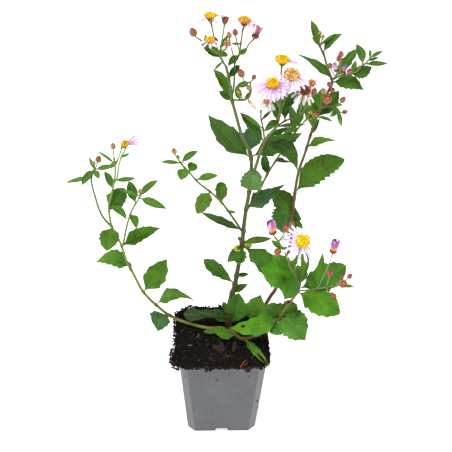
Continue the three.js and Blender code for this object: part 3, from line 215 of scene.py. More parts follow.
# Each leaf: its branch, the place on it, its tip's place and depth behind it, its width, how far it
# leans to the front, its arch, its teeth on a side, its colour, its shape, and its traits: how far it
# bends to a side, and holes, each with its place along and across the leaf and its radius
LEAVES = [
  ["left", 124, 246, 161, 228, 9, 14.4, 0.6, 3, 2, "mid", "broad", {"bend": -1.0}],
  ["left", 110, 228, 107, 251, -24, 18, 0.8, 3, 2, "mid", "blunt", {"bend": -0.6}],
  ["left", 130, 268, 95.5, 262.5, 1, 17, 0.7, 3, 2, "soft", "broad", {"bend": 6.2}],
  ["left", 130, 271, 128, 261, 4, 4, 0.6, 0, 0, "mid", "lance"],
  ["left", 143, 291, 167, 259, 16, 21, 0.8, 2, 1, "mid", "ovate", {"bend": 0.8}],
  ["left", 158, 303, 196, 302, -1, 15, 0.6, 14, 1, "mid", "taper", {"bend": -5.4}],
  ["left", 171, 312.5, 158, 331.5, -14, 21, 0.9, 3, 1, "dusk", "ovate", {"bend": 5.8}],
  ["left", 112.5, 190, 104, 171, 15, 6.5, 0.6, 1, 0, "deep", "lance", {"bend": 1.2}],
  ["left", 115, 181, 136, 178, 4, 4.6, 0.6, 1, 0, "mid", "lance", {"bend": 1.1}],
  ["left_thin", 117, 161, 108, 168, 1, 2.6, 0.6, 1, 0, "mid", "lance"],
  ["left", 114, 163, 97, 151, 2, 2.6, 0.6, 1, 0, "mid", "lance"],
  ["left", 110, 211, 125, 188.5, 10, 17, 0.7, 2, 2, "deep", "blunt"],
  ["left", 110, 206, 127, 220, -12, 7, 0.6, 2, 0, "mid", "ovate", {"bend": -2.0}],
  ["left_outer", 91, 178, 65, 183, -2, 4.4, 0.6, 1, 0, "mid", "lance"],
  ["left_outer", 94.5, 169.5, 81.5, 185.5, -10, 7, 0.6, 2, 0, "deep", "ovate"],
  ["left_outer", 94, 170, 99.5, 179, -9, 5.4, 0.6, 1, 0, "mid", "lance"],
  ["left_outer", 95, 169.5, 117, 165.5, 2, 5, 0.6, 3, 0, "mid", "lance", {"bend": 1.0}],
  ["left_outer", 95, 168, 89, 157, 6, 3.2, 0.6, 1, 0, "mid", "lance"],
  ["left_inner", 139, 197, 159, 180, 11, 6.4, 0.6, 2, 0, "mid", "ovate", {"bend": -1.2}],
  ["left_inner", 139, 198, 167, 209, -10, 8, 0.6, 3, 0, "mid", "ovate", {"bend": 1.4}],
  ["left_inner", 135, 204, 129, 181, 18, 9.5, 0.7, 2, 0, "deep", "ovate"],
  ["left_inner", 140, 196, 120, 190, 1, 4, 0.6, 1, 0, "mid", "lance"],
  ["left_inner", 130, 214, 136.5, 229, -14, 7.5, 0.6, 2, 0, "deep", "ovate", {"bend": -1.6}],
  ["main", 228.5, 325, 238, 293, -5, 20, 0.9, 2, 2, "deep", "spoon", {"bend": 3.0}],
  ["right", 252, 320, 261, 294.5, -4, 24, 0.9, 3, 2, "soft", "ovate",
   {"holes": [(0.27, -0.5, 1.2), (0.27, 0.12, 1.3)]}],
  ["low", 236, 336, 211.5, 326.5, -2, 11, 0.8, 2, 1, "mid", "ovate", {"bend": -2.0}],
  ["main", 228.5, 317, 183.5, 314, 3, 14, 0.7, 3, 2, "shade", "oar"],
  ["main", 228.5, 320, 213, 309.5, 2, 7, 0.8, 2, 1, "dark", "spoon"],
  ["main", 228.5, 319, 223.5, 301.5, 3, 6, 0.9, 1, 0, "mid", "paddle"],
  ["main", 242, 246, 227, 262, -14, 12, 0.7, 2, 2, "dark", "ovate", {"bend": -2.4}],
  ["main", 243, 243, 253, 246, -5, 4, 0.6, 1, 0, "lime", "lance"],
  ["main", 243, 242, 272.5, 238.5, -2, 7, 0.6, 3, 0, "deep", "lance", {"bend": 1.4}],
  ["main", 242, 247.5, 272, 289, -26, 19, 0.9, 3, 1, "deep", "ovate", {"bend": -10.0}],
  ["main", 240, 277, 249, 274, 2, 4.6, 0.6, 0, 0, "deep", "lance"],
  ["main", 234, 293, 248, 284, 1, 7, 0.7, 1, 0, "deep", "lance"],
  ["main", 235, 284.5, 203.5, 259.5, 14, 13.4, 0.6, 2, 1, "deep", "spoon", {"bend": -1.0}],
  ["main", 242, 231, 200, 212, 16, 8, 0.5, 3, 1, "dark", "ovate", {"bend": -1.2}],
  ["main", 250.5, 191, 254, 168, -8, 20, 0.8, 2, 2, "grey", "round", {"bend": 1.0}],
  ["main", 249, 159, 208, 115, 30, 20, 0.7, 3, 1, "dark", "broad", {"bend": -2.2}],
  ["main", 250.5, 152, 251.5, 126.5, 21, 17, 0.9, 2, 2, "dusk", "ovate", {"bend": 1.5}],
  ["main", 251, 157, 302, 133.5, 20, 17, 0.7, 4, 2, "dark", "broad", {"bend": 1.0}],
  ["main", 247, 208, 286, 184, 12, 16.5, 0.7, 3, 2, "dusk", "taper", {"bend": 1.0}],
  ["side", 222, 203, 221, 182, 18, 11, 0.9, 2, 1, "deep", "round"],
  ["side", 211, 191, 197, 214, -19, 13, 0.8, 3, 1, "mid", "round", {"bend": -0.4}],
  ["side", 197, 180, 218, 175.5, 5, 7, 0.6, 2, 0, "mid", "ovate"],
  ["side", 188, 172, 195, 163.5, 9, 9, 0.9, 1, 0, "mid", "round"],
  ["side", 185, 168.5, 181, 180.5, -9, 10, 0.8, 2, 0, "mid", "ovate"],
  ["side", 181, 163, 160, 162, 1, 3.8, 0.6, 1, 0, "mid", "lance"],
  ["side", 181, 163, 198, 151, 10, 6, 0.6, 2, 0, "mid", "ovate"],
  ["centre", 263, 142, 240, 113, 15, 9, 0.8, 3, 1, "dark", "ovate"],
  ["centre_left", 263, 130, 239, 112, 18, 4, 0.6, 2, 0, "deep", "lance"],
  ["centre", 263, 145, 297.5, 170.5, -19, 14.5, 0.7, 4, 1, "dark", "ovate", {"bend": -7.5}],
  ["centre", 278, 119, 264, 132, -12, 6.4, 0.6, 2, 0, "deep", "ovate"],
  ["centre_left", 262, 120, 272, 110, 6, 3, 0.6, 1, 0, "deep", "lance"],
  ["centre", 277, 122, 270, 97, 20, 5, 0.6, 0, 0, "deep", "lance"],
  ["centre", 279, 116, 277, 96, 14, 6, 0.7, 0, 0, "deep", "lance"],
  ["centre_right", 285, 121, 285, 94, 22, 8, 0.7, 0, 0, "deep", "lance"],
  ["centre", 280, 112, 299, 90, 28, 9, 0.7, 1, 0, "deep", "ovate"],
  ["centre", 276, 127, 307, 125, -1, 3.6, 0.6, 2, 0, "deep", "lance"],
  ["thin", 267, 175, 264, 155, 15, 8, 0.9, 1, 1, "deep", "round"],
  ["thin", 276, 160, 292, 162, -4, 2.8, 0.6, 1, 0, "deep", "lance"],
  ["thin", 299, 128, 283, 134, -6, 5.4, 0.6, 2, 0, "deep", "lance"],
  ["thin", 299, 127, 302, 98, 21, 7, 0.9, 1, 1, "deep", "ovate"],
  ["thin", 306, 120, 311, 98, 12, 6, 0.9, 1, 0, "deep", "ovate"],
  ["right", 295.5, 194.5, 344.5, 159, 18, 23.5, 0.7, 4, 4, "mid", "blunt", {"bend": -4.6}],
  ["right", 294, 198, 281.5, 233, 15, 28, 0.8, 4, 4, "deep", "broad"],
  ["right", 293, 221, 303, 229, -9, 6, 0.6, 2, 0, "deep", "ovate"],
  ["right", 307, 149, 338, 142, 2, 9, 0.6, 2, 1, "soft", "taper", {"bend": -3.8}],
  ["right", 316, 119, 339, 91, 24, 15, 0.8, 2, 3, "deep", "ovate"],
  ["right", 318, 117, 333, 122, -5, 3.4, 0.6, 2, 0, "deep", "lance"],
  ["right", 317.5, 113, 312.5, 127.5, -16, 9, 0.8, 2, 1, "mid", "ovate", {"bend": 4.0}],
  ["right", 318, 110, 312, 88, 14, 8, 0.9, 1, 1, "deep", "ovate"],
  ["right", 331, 83, 364, 90.5, -8, 15, 0.6, 4, 2, "deep", "broad", {"bend": -1.2}],
  ["right", 332.5, 80, 296, 54, 12, 8.6, 0.7, 2, 1, "deep", "taper", {"bend": 2.6}],
  ["right", 323, 53, 343, 33.5, 11, 7, 0.7, 1, 0, "deep", "ovate", {"bend": -2.6}],
  ["right", 320, 46, 311, 20, 15, 7, 0.9, 1, 0, "deep", "ovate"],
  ["right", 320, 45, 336, 33, 8, 2.8, 0.6, 1, 0, "deep", "lance"],
  ["right_outer", 334, 79, 357, 49, 24, 9, 0.9, 1, 1, "deep", "blunt"],
  ["right_outer", 363, 67, 356, 44, 16, 7.4, 0.9, 1, 0, "deep", "lance", {"bend": 2.0}],
  ["right_outer", 364, 64, 388, 63.6, 0, 4.8, 0.6, 2, 0, "deep", "lance", {"bend": 0.8}],
  ["right_outer", 370, 59, 383, 51, 5, 3.4, 0.6, 1, 0, "deep", "lance"],
  ["right_outer", 370, 58, 370.5, 49, 5, 2.6, 0.6, 0, 0, "deep", "lance"],
  ["right_outer", 350, 75, 372, 67, 1, 12, 0.7, 2, 2, "deep", "ovate", {"bend": 3.0}],
  ["right_outer", 352, 73, 356, 60, 8, 4.6, 0.6, 0, 0, "mid", "lance"],
  ["right_buds", 330, 106, 343, 105, -1, 4, 0.6, 1, 0, "deep", "lance"],
  ["right_buds", 331, 107, 341, 117, -10, 5, 0.6, 2, 0, "deep", "lance"],
  ["low", 280, 317, 229, 328, -8, 18.5, 0.7, 3, 1, "bright", "broad",
   {"bend": -4.0, "holes": [(0.71, 0.3, 0.8), (0.75, 0.3, 0.9)]}],
  ["low", 279, 317.5, 305.5, 340.5, -20, 28, 0.8, 3, 2, "soft", "ovate", {"bend": -4.0}],
  ["low", 281, 316, 265.5, 306.5, 9, 15, 0.8, 2, 2, "deep", "blunt"],
  ["low", 276, 322, 306, 321.5, -4, 26, 0.8, 3, 2, "soft", "blunt"],
  ["low", 244, 339, 269.5, 367, -38, 8, 0.5, 3, 1, "mid", "ovate",
   {"holes": [(0.58, 0.1, 0.7), (0.62, 0.1, 1.0), (0.66, 0.1, 1.1), (0.7, 0.1, 1.1), (0.74, 0.1, 1.1),
              (0.78, 0.1, 1.1), (0.82, 0.1, 1.0), (0.87, 0.1, 0.9), (0.92, 0.1, 0.9)]}],
  ["low", 300, 284, 261, 268, 12, 30, 0.8, 3, 2, "bright", "ovate", {"bend": 1.5}],
  ["low", 299, 293, 340, 314, -22, 25, 0.7, 3, 2, "bright", "blunt", {"bend": 0.3}],
  ["low", 299, 289, 346, 266, 18, 24, 0.8, 3, 2, "mid", "blunt", {"bend": 1.6}],
  ["low_left", 292, 272, 271.5, 254.5, 10, 12, 0.8, 2, 1, "bright", "ovate"],
  ["low_left", 300, 285, 297, 264.5, 10, 13, 0.9, 2, 2, "grey", "ovate", {"bend": 2.0}],
  ["low_left", 299, 283, 305, 251, 16, 8, 0.9, 1, 0, "mid", "spoon", {"bend": 2.5}],
  ["low_left", 290, 266, 303.5, 253.5, 5, 6.5, 0.8, 2, 0, "bright", "lance"],
  ["low_left", 284, 250, 271, 240, 9, 5, 0.6, 1, 0, "bright", "lance"],
  ["low_right", 316, 289, 323, 252, 22, 7, 0.8, 1, 0, "bright", "lance"],
  ["low_right", 337, 285, 355, 287, 0, 3.8, 0.6, 1, 0, "bright", "lance"],
  ["head_left", 221, 59, 200.5, 43.5, 11, 8, 0.7, 1, 2, "deep", "broad"],
  ["head_left", 219, 53, 228, 34.5, 5, 4.6, 0.8, 0, 0, "mid", "lance"],
  ["head_left", 220.5, 48.5, 228, 56, -2, 5, 0.6, 1, 0, "deep", "ovate"],
  ["head_right", 239, 55, 228, 66, -11, 6, 0.7, 1, 0, "deep", "ovate"],
  ["main", 228.7, 78, 239.5, 65, 8, 6, 0.8, 0, 0, "dark", "blunt"],
  ["main", 232, 99, 213, 69, 18, 9, 0.9, 2, 1, "mid", "ovate", {"bend": 1.6}],
  ["main", 233, 102, 219, 91, 11, 7, 0.7, 1, 0, "deep", "ovate"],
  ["head_low", 250, 83, 236, 87, -4, 5.4, 0.7, 0, 0, "deep", "ovate"],
  ["head_left", 222, 61, 214, 70, -4, 2.4, 0.6, 0, 0, "mid", "lance"],
  ["head_right", 239, 55, 247.5, 48, 3, 4.4, 0.7, 0, 0, "deep", "ovate"],
  ["head_left_low", 207, 45, 205.5, 34.5, 3, 3, 0.9, 0, 0, "mid", "ovate"],
  ["head_right", 241, 43, 231.5, 43.5, 2, 2.4, 0.6, 0, 0, "deep", "lance"],
  ["head_low", 241, 100, 236, 85.5, 4, 6, 0.8, 1, 0, "bright", "ovate"],
  ["head_low", 245, 99, 252, 91, 2, 3.6, 0.7, 0, 0, "mid", "ovate"],
  ["left_bloom_stalk", 121, 158, 130, 153, 0, 2.4, 0.6, 0, 0, "mid", "lance"],
  ["left", 110.5, 200, 105.5, 194, 1, 2.2, 0.6, 0, 0, "mid", "lance"],
  ["side", 228, 211, 236, 213, -1, 3, 0.6, 0, 0, "mid", "ovate"],
  ["thin", 277, 160, 285, 160, 1, 4.2, 0.8, 0, 0, "deep", "ovate"],
  ["right", 319.5, 46, 311.5, 37, 2, 3, 0.7, 0, 0, "deep", "lance"],
  ["right_outer", 368, 61, 379, 57, 1, 2.8, 0.6, 0, 0, "mid", "lance"],
  ["low_left", 282, 247, 290, 250.5, -2, 3.6, 0.6, 0, 0, "mid", "ovate"],
  ["main", 243, 242, 237.5, 236.5, 2, 3.4, 0.7, 0, 0, "mid", "ovate"],
  ["right", 319, 112, 323, 87, 8, 10, 0.9, 1, 1, "mid", "ovate"],
  ["right_buds", 338, 111, 341.5, 127, -8, 4.2, 0.8, 0, 0, "mid", "ovate"],
  ["right_buds", 337, 110.5, 330, 117, -3, 4.6, 0.7, 0, 0, "mid", "ovate"],
  ["right", 317, 118, 309, 99, 10, 9, 0.9, 1, 1, "mid", "ovate"],
  ["low_right", 313, 290, 306, 277.5, 4, 4.6, 0.8, 0, 0, "mid", "ovate"],
  ["low_left", 289, 266, 279, 257.5, 2, 2.8, 0.7, 0, 0, "mid", "lance"],
  ["thin", 296, 131, 290.5, 104.5, 12, 7.5, 0.9, 0, 0, "dark", "ovate"],
  ["right", 311, 137, 320, 118, 4, 5, 0.8, 0, 0, "deep", "ovate"],
  ["centre", 268, 136, 290, 127, 2, 5, 0.6, 0, 0, "deep", "lance"],
  ["main", 228.5, 318, 198, 312, 1, 8, 0.7, 2, 0, "shade", "spoon"],
  ["main", 228.5, 322, 214, 316, 1, 5, 0.8, 1, 0, "mid", "spoon"],
  ["main", 228.5, 320, 220, 313, 2, 5, 0.8, 1, 0, "mid", "paddle"],
  ["low", 234, 334, 203.5, 331.5, 1, 5, 0.7, 1, 0, "deep", "paddle"],
  ["low", 281, 315.5, 297, 304.5, 4, 17, 0.8, 2, 1, "mid", "blunt"],
  ["low", 278, 319, 280.5, 302.5, 3, 12, 0.8, 1, 1, "deep", "blunt"],
  ["low", 275.5, 322.5, 282, 334.5, -12, 19, 0.8, 1, 0, "soft", "blunt"],
  ["low", 280, 317.5, 269.5, 313.5, 2, 9, 0.8, 0, 0, "deep", "blunt"],
  ["low_left", 296, 279, 284.5, 299.5, -14, 16, 0.8, 2, 1, "mid", "ovate"],
  ["right", 293, 216, 273.5, 190.5, 6, 20, 0.8, 2, 2, "deep", "blunt"],
  ["main", 242, 246, 252, 247, 0, 4, 0.8, 0, 0, "lime", "ovate"],
  ["main", 243, 246.5, 233.5, 250.5, -9, 6.6, 0.8, 0, 0, "lime", "ovate"],
  ["main", 242, 246.5, 238.5, 264.5, -12, 13, 0.8, 1, 1, "mid", "blunt"],
]

# Each bud: its branch, the place on it, the bud's own place and depth behind it, its length, its look
BUDS = [
  ["left", 114, 158, 113, 146, 0, 5.6, "tan"],
  ["left_thin", 121, 151, 122, 147, 0, 3.2, "green"],
  ["left_outer", 95, 168, 98.5, 159, 1, 6.6, "brown"],
  ["left_inner", 140, 196, 140, 191, 0, 4.4, "tan"],
  ["side", 180, 162, 174, 151, -1, 5.4, "tan"],
  ["centre_right", 302, 112, 314.5, 91, -9, 5.4, "purple"],
  ["thin", 306, 120, 315, 115, -4, 5.2, "pink"],
  ["thin", 306, 120, 310.5, 112.5, 2, 4.2, "tan"],
  ["head_left_low", 199, 39, 193, 32, 0, 7.4, "brown"],
  ["head_left", 219, 53, 225, 20, 4, 7.2, "open"],
  ["head_left", 219, 53, 215, 40.5, 4, 6, "brown"],
  ["head_right", 235, 62, 229, 35, 5, 5.2, "tan"],
  ["head_right", 239, 52, 235.2, 32, -4, 5.4, "brown"],
  ["head_low", 250, 90, 241, 73, 3, 7, "brown"],
  ["head_low", 250, 82, 254, 77, 0, 4.4, "purple"],
  ["head_low", 250, 93, 248.5, 87.5, -4, 4.6, "tan"],
  ["head_low", 243, 100, 239, 91.5, -4, 4.6, "tan"],
  ["right", 319, 44, 320, 33, 4, 3.8, "tan"],
  ["right_outer", 341, 76, 341, 54, -3, 5.6, "pink"],
  ["right_outer", 337, 78, 330, 65.5, -3, 5.2, "brown"],
  ["right_outer", 346, 75, 349.5, 71, -6, 5.4, "pink"],
  ["right", 330, 88, 329, 84, -8, 5, "pink"],
  ["right", 329, 90, 332.7, 90, -8, 5.2, "pink"],
  ["right", 324, 101, 324, 91, -8, 5.2, "tan"],
  ["right_buds", 326, 107, 327.2, 99.5, -4, 8.2, "rosette"],
  ["right_buds", 334, 108, 343, 99.5, 0, 6, "pink"],
  ["right_buds", 338, 110, 345, 112, -1, 5, "pink"],
  ["low_right", 326, 287, 330, 273, -6, 6.2, "pink"],
  ["low_right", 337, 285, 350, 276, 2, 5.2, "pink"],
  ["low_right", 337, 285, 342, 277.5, 3, 4, "pink"],
  ["low_right", 335, 285.5, 343, 284, -6, 7.8, "rosette"],
  ["low_right", 326, 287, 334, 296, -5, 5.6, "pink"],
  ["low_left", 281, 246, 278, 251.5, 3, 6.8, "rosette"],
  ["low_left", 278, 241, 286, 228, -1, 6.4, "pink"],
  ["low_left", 279, 242, 292, 224, 20, 5.4, "pink"],
  ["left_outer", 95, 168, 94, 163, 2, 3.6, "green"],
  ["side", 180, 162, 178, 157, 1, 3.6, "green"],
  ["right", 320, 46, 323, 36.5, 0, 3.8, "tan"],
  ["right_outer", 341, 76, 339, 58.5, -5, 5.6, "pink"],
  ["low", 291, 301, 288.5, 302, -3, 4, "open"],
  ["head_low", 250, 97, 252.5, 105.5, -1, 9, "withered"],
]

# Each open bloom: its name, its branch, the place on it, its disc's place and depth behind it, the way
# it turns and how high it faces, its disc's width, its petals' length, the first and last one's angle,
# their count and droop, and its look
BLOOMS = [
  ["big", "centre", 281, 108, 273, 83.5, -9, -4, 60, 11, 11, 172, 376, 15, 22, "fresh"],
  ["tan", "centre", 281, 108, 292, 75, 4, 8, 68, 13, 10, 175, 370, 12, 26, "faded"],
  ["gold", "centre", 281, 108, 282.5, 60, 9, 10, 78, 12, 8, 352, 372, 2, 12, "fresh"],
  ["far", "centre_right", 302, 112, 312, 83, 4, 20, 78, 6, 7, 190, 340, 5, 36, "spent"],
  ["brown", "centre_right", 300, 113, 304.5, 90.5, -8, 6, 58, 11, 9, 195, 320, 6, 52, "dead"],
  ["hanging", "centre_left", 261, 110, 266.5, 101, -1, 0, 78, 6.4, 9, 140, 330, 6, 68, "pale"],
  ["left", "left_bloom_stalk", 122, 155, 125, 144, 0, 6, 72, 7.5, 9, -2, 50, 4, -4, "violet"],
  ["crown", "head_left_tall", 211.6, 25, 210.5, 16, 0, 0, 88, 10, 9, 212, 392, 3, 8, "fresh"],
  ["crown_low", "head_left", 219, 52.5, 210, 40, -13, -6, 70, 6.4, 5.5, 185, 350, 5, 18, "wan"],
  ["crown_spent", "head_left", 219, 52, 227.5, 43.5, -4, 14, 60, 4.4, 4.5, 230, 330, 3, 30, "spent"],
  ["crown_right", "head_right", 243, 28, 244.5, 20.5, 0, 14, 84, 11, 5, 300, 352, 3, 12, "orange"],
  ["low", "low_left", 293, 272, 303, 241.5, -16, 0, 50, 12, 15, 120, 310, 12, 14, "white"],
]

# Each closed bloom: its name, its branch, the place on it, its middle's place and depth behind it, its
# width and length, and its look
CLOSED_BLOOMS = [
  ["crown_closed", "head_far", 254, 39, 257, 30, 1, 7.4, 8.5, "salmon"],
  ["low_closed", "low_left", 275, 237, 271.5, 226, 0, 8, 11, "pink"],
  ["low_right_closed", "low_right", 318, 289, 335, 245, 2, 7.6, 11, "pink"],
  ["outer_closed", "right_outer", 341, 76, 335, 66, -11, 4.4, 8, "pale"],
  ["outer_purple", "right_outer", 343, 75.5, 344.5, 68, -3, 3.4, 6, "purple"],
]

# Colours by look, as red, green and blue from 0 to 255
LEAF_COLOURS = {
  "mid": (71, 119, 25),
  "deep": (61, 102, 22),
  "dark": (58, 92, 31),
  "bright": (76, 130, 14),
  "grey": (82, 123, 55),
  "soft": (92, 147, 49),
  "lime": (160, 176, 50),
  "dusk": (68, 100, 52),
  "shade": (42, 66, 32),
}
STEM_COLOURS = {
  "left": ((122, 118, 52), (110, 148, 60)),
  "left_bloom_stalk": ((118, 160, 66), (134, 176, 78)),
  "left_thin": ((112, 146, 66), (124, 160, 72)),
  "left_outer": ((92, 118, 60), (84, 118, 52)),
  "left_inner": ((112, 136, 66), (104, 138, 62)),
  "main": ((56, 46, 26), (92, 112, 54)),
  "side": ((66, 70, 34), (94, 130, 46)),
  "centre": ((86, 92, 52), (96, 118, 56)),
  "centre_right": ((92, 104, 56), (100, 118, 60)),
  "centre_left": ((92, 104, 56), (100, 118, 60)),
  "thin": ((84, 86, 50), (112, 124, 62)),
  "head_left": ((96, 126, 56), (102, 124, 46)),
  "head_left_tall": ((92, 114, 44), (106, 126, 48)),
  "head_left_low": ((92, 114, 44), (106, 118, 50)),
  "head_right": ((90, 112, 44), (108, 128, 48)),
  "head_far": ((92, 114, 44), (110, 124, 50)),
  "head_low": ((90, 112, 44), (110, 124, 50)),
  "right": ((92, 68, 42), (98, 96, 52)),
  "right_outer": ((104, 112, 62), (120, 148, 70)),
  "right_buds": ((112, 124, 66), (120, 140, 70)),
  "low": ((84, 60, 38), (122, 120, 66)),
  "low_right": ((136, 136, 92), (118, 142, 76)),
  "low_left": ((100, 108, 58), (92, 122, 52)),
}
BUD_COLOURS = {
  "pink": ((104, 112, 50), (170, 64, 68)),
  "brown": ((104, 100, 46), (146, 76, 62)),
  "purple": ((96, 92, 48), (156, 52, 78)),
  "tan": ((116, 136, 56), (172, 116, 82)),
  "green": ((104, 134, 48), (144, 152, 66)),
  "open": ((96, 76, 44), (150, 66, 70)),
  "withered": ((220, 120, 70), (244, 232, 220)),
  "rosette": ((128, 128, 60), (228, 138, 120)),
}
RAY_COLOURS = {
  "fresh": ((178, 130, 188), (218, 186, 224)),
  "white": ((196, 156, 208), (234, 222, 240)),
  "wan": ((222, 196, 222), (238, 226, 240)),
  "violet": ((204, 150, 210), (216, 176, 222)),
  "orange": ((210, 168, 200), (222, 184, 220)),
  "faded": ((200, 156, 208), (230, 206, 232)),
  "pale": ((216, 204, 194), (240, 236, 232)),
  "spent": ((224, 176, 150), (230, 206, 222)),
  "dead": ((196, 160, 146), (230, 218, 216)),
}

# The petals' width by look, as a share of PETAL_WIDTH
RAY_WIDTHS = {
  "fresh": 0.86, "white": 1.05, "wan": 0.86, "violet": 1.0, "orange": 0.86, "faded": 0.9,
  "pale": 1.3, "spent": 0.78, "dead": 0.85,
}

# The looks of blooms that are past their time
WORN_LOOKS = ("spent", "dead", "pale")

# Discs: their florets' two colours by look
DISC_COLOURS = {
  "fresh": ((250, 190, 0), (255, 228, 0)),
  "white": ((255, 226, 0), (255, 248, 0)),
  "wan": ((246, 170, 0), (255, 214, 10)),
  "violet": ((220, 160, 30), (250, 214, 50)),
  "orange": ((238, 160, 10), (255, 220, 50)),
  "faded": ((246, 180, 70), (255, 230, 150)),
  "pale": ((222, 104, 50), (240, 150, 90)),
  "spent": ((176, 104, 56), (232, 164, 108)),
  "dead": ((92, 56, 34), (196, 120, 62)),
}

# The outermost florets' colour by look, and each disc look's form: how high its florets stand, how
# loosely, and how crowded they are
RIM_COLOURS = {
  "fresh": (236, 150, 30),
  "white": (244, 150, 90),
  "wan": (232, 140, 30),
  "violet": (226, 150, 60),
  "orange": (216, 120, 20),
  "faded": (250, 200, 130),
}
DISC_FORMS = {
  "fresh": (1.45, 0.12, 3.0),
  "white": (2.2, 0.26, 2.3),
  "wan": (1.6, 0.16, 2.9),
  "violet": (1.45, 0.12, 2.9),
  "orange": (1.4, 0.3, 3.0),
  "faded": (1.9, 0.3, 3.6),
  "pale": (0.8, 0.3, 3.0),
  "spent": (1.9, 0.3, 2.9),
  "dead": (1.0, 0.24, 4.6),
}
CUP_COLOURS = {
  "fresh": ((98, 128, 58), (112, 104, 66)),
  "white": ((108, 140, 62), (124, 140, 70)),
  "wan": ((98, 128, 58), (112, 104, 66)),
  "violet": ((118, 136, 66), (170, 124, 88)),
  "orange": ((110, 84, 58), (136, 70, 66)),
  "faded": ((104, 132, 60), (124, 120, 70)),
  "pale": ((112, 120, 66), (150, 112, 78)),
  "spent": ((104, 92, 58), (140, 88, 62)),
  "dead": ((96, 78, 48), (128, 84, 56)),
}
CLOSED_CUP_COLOURS = ((112, 100, 58), (128, 60, 58))
BUD_FLORET_COLOURS = {"open": (96, 40, 44), "rosette": (196, 176, 50)}
DRY_FLORET_COLOUR = (176, 96, 44)
PAPPUS_COLOUR = (206, 178, 140)
HAIR_COLOUR = (206, 206, 180)
SCORCH_COLOUR = (70, 46, 24)
SOIL_DARK = (9, 8, 7)
SOIL_LIGHT = (48, 38, 30)
SOIL_FLECK = (66, 52, 42)
FIBRE_COLOUR = (128, 96, 62)


def unit(v):
    return v / np.linalg.norm(v)


def view_axes():
    """The place that the front view is seen from, and its three directions"""
    height = math.radians(VIEW_ELEVATION)
    turn = math.radians(VIEW_AZIMUTH)
    roll = math.radians(VIEW_ROLL)
    back = np.array([
        math.sin(turn) * math.cos(height), -math.cos(turn) * math.cos(height), math.sin(height)])
    right = unit(np.cross(-back, UP))
    top = np.cross(right, -back)
    across = right * math.cos(roll) + top * math.sin(roll)
    upward = top * math.cos(roll) - right * math.sin(roll)
    return VIEW_AIM + back * VIEW_DISTANCE, -back, across, upward


EYE, FORWARD, ACROSS, UPWARD = view_axes()


def view_ray(x, y):
    """The way from the eye to a place in the view"""
    return FORWARD * VIEW_FOCAL + ACROSS * (x - VIEW_SIZE / 2) + UPWARD * (VIEW_SIZE / 2 - y)


def place(x, y, depth):
    """The point at a place in the view, at a depth behind the middle of the pot"""
    ray = view_ray(x, y)
    return EYE + ray * (depth - EYE[1]) / ray[1]


def seen(points):
    """The places in the view of an array of points"""
    away = points - EYE
    scale = VIEW_FOCAL / (away @ FORWARD)
    return np.stack([
        VIEW_SIZE / 2 + scale * (away @ ACROSS), VIEW_SIZE / 2 - scale * (away @ UPWARD)], -1)


def linear(colour):
    """A colour from 0 to 255 as the light that it stands for"""
    c = np.array(colour, float) / 255
    return np.where(c <= 0.04045, c / 12.92, ((c + 0.055) / 1.055) ** 2.4)


def smoothstep(x, low=0.0, high=1.0):
    s = np.clip((x - low) / (high - low), 0, 1)
    return s * s * (3 - 2 * s)


def square_to(axis):
    """Two directions square to an axis"""
    guide = np.array([1.0, 0.0, 0.0]) if abs(axis[2]) > 0.95 else UP
    first = unit(np.cross(guide, axis))
    return first, np.cross(axis, first)


def around_axis(axis, angles):
    """The directions square to an axis at an array of angles round it"""
    first, second = square_to(axis)
    return first * np.cos(angles)[:, None] + second * np.sin(angles)[:, None]


def smooth_line(line):
    """A curve through a line of points, in even steps"""
    line = np.array(line)
    ends = np.vstack([2 * line[0] - line[1], line, 2 * line[-1] - line[-2]])
    out = []
    for k in range(len(line) - 1):
        a, b, c, d = ends[k:k + 4]
        count = max(2, int(np.linalg.norm(c - b) / CURVE_STEP))
        t = (np.arange(count) / count)[:, None]
        out.append(0.5 * (2 * b + (c - a) * t + (2 * a - 5 * b + 4 * c - d) * t ** 2
                          + (3 * b - a - 3 * c + d) * t ** 3))
    out.append(line[-1:])
    return np.vstack(out)


def bend_line(start, middle, end, count):
    """A curve from a start to an end that leans towards a middle point"""
    t = np.linspace(0, 1, count)[:, None]
    return (1 - t) ** 2 * start + 2 * t * (1 - t) * middle + t ** 2 * end


def transported(line):
    """The heading at each point of a line, and two directions square to it that don't twist"""
    ways = np.gradient(line, axis=0)
    ways /= np.linalg.norm(ways, axis=1)[:, None]
    first = np.empty_like(line)
    first[0] = square_to(ways[0])[0]
    for k in range(1, len(line)):
        first[k] = unit(first[k - 1] - ways[k] * (first[k - 1] @ ways[k]))
    return ways, first, np.cross(ways, first)


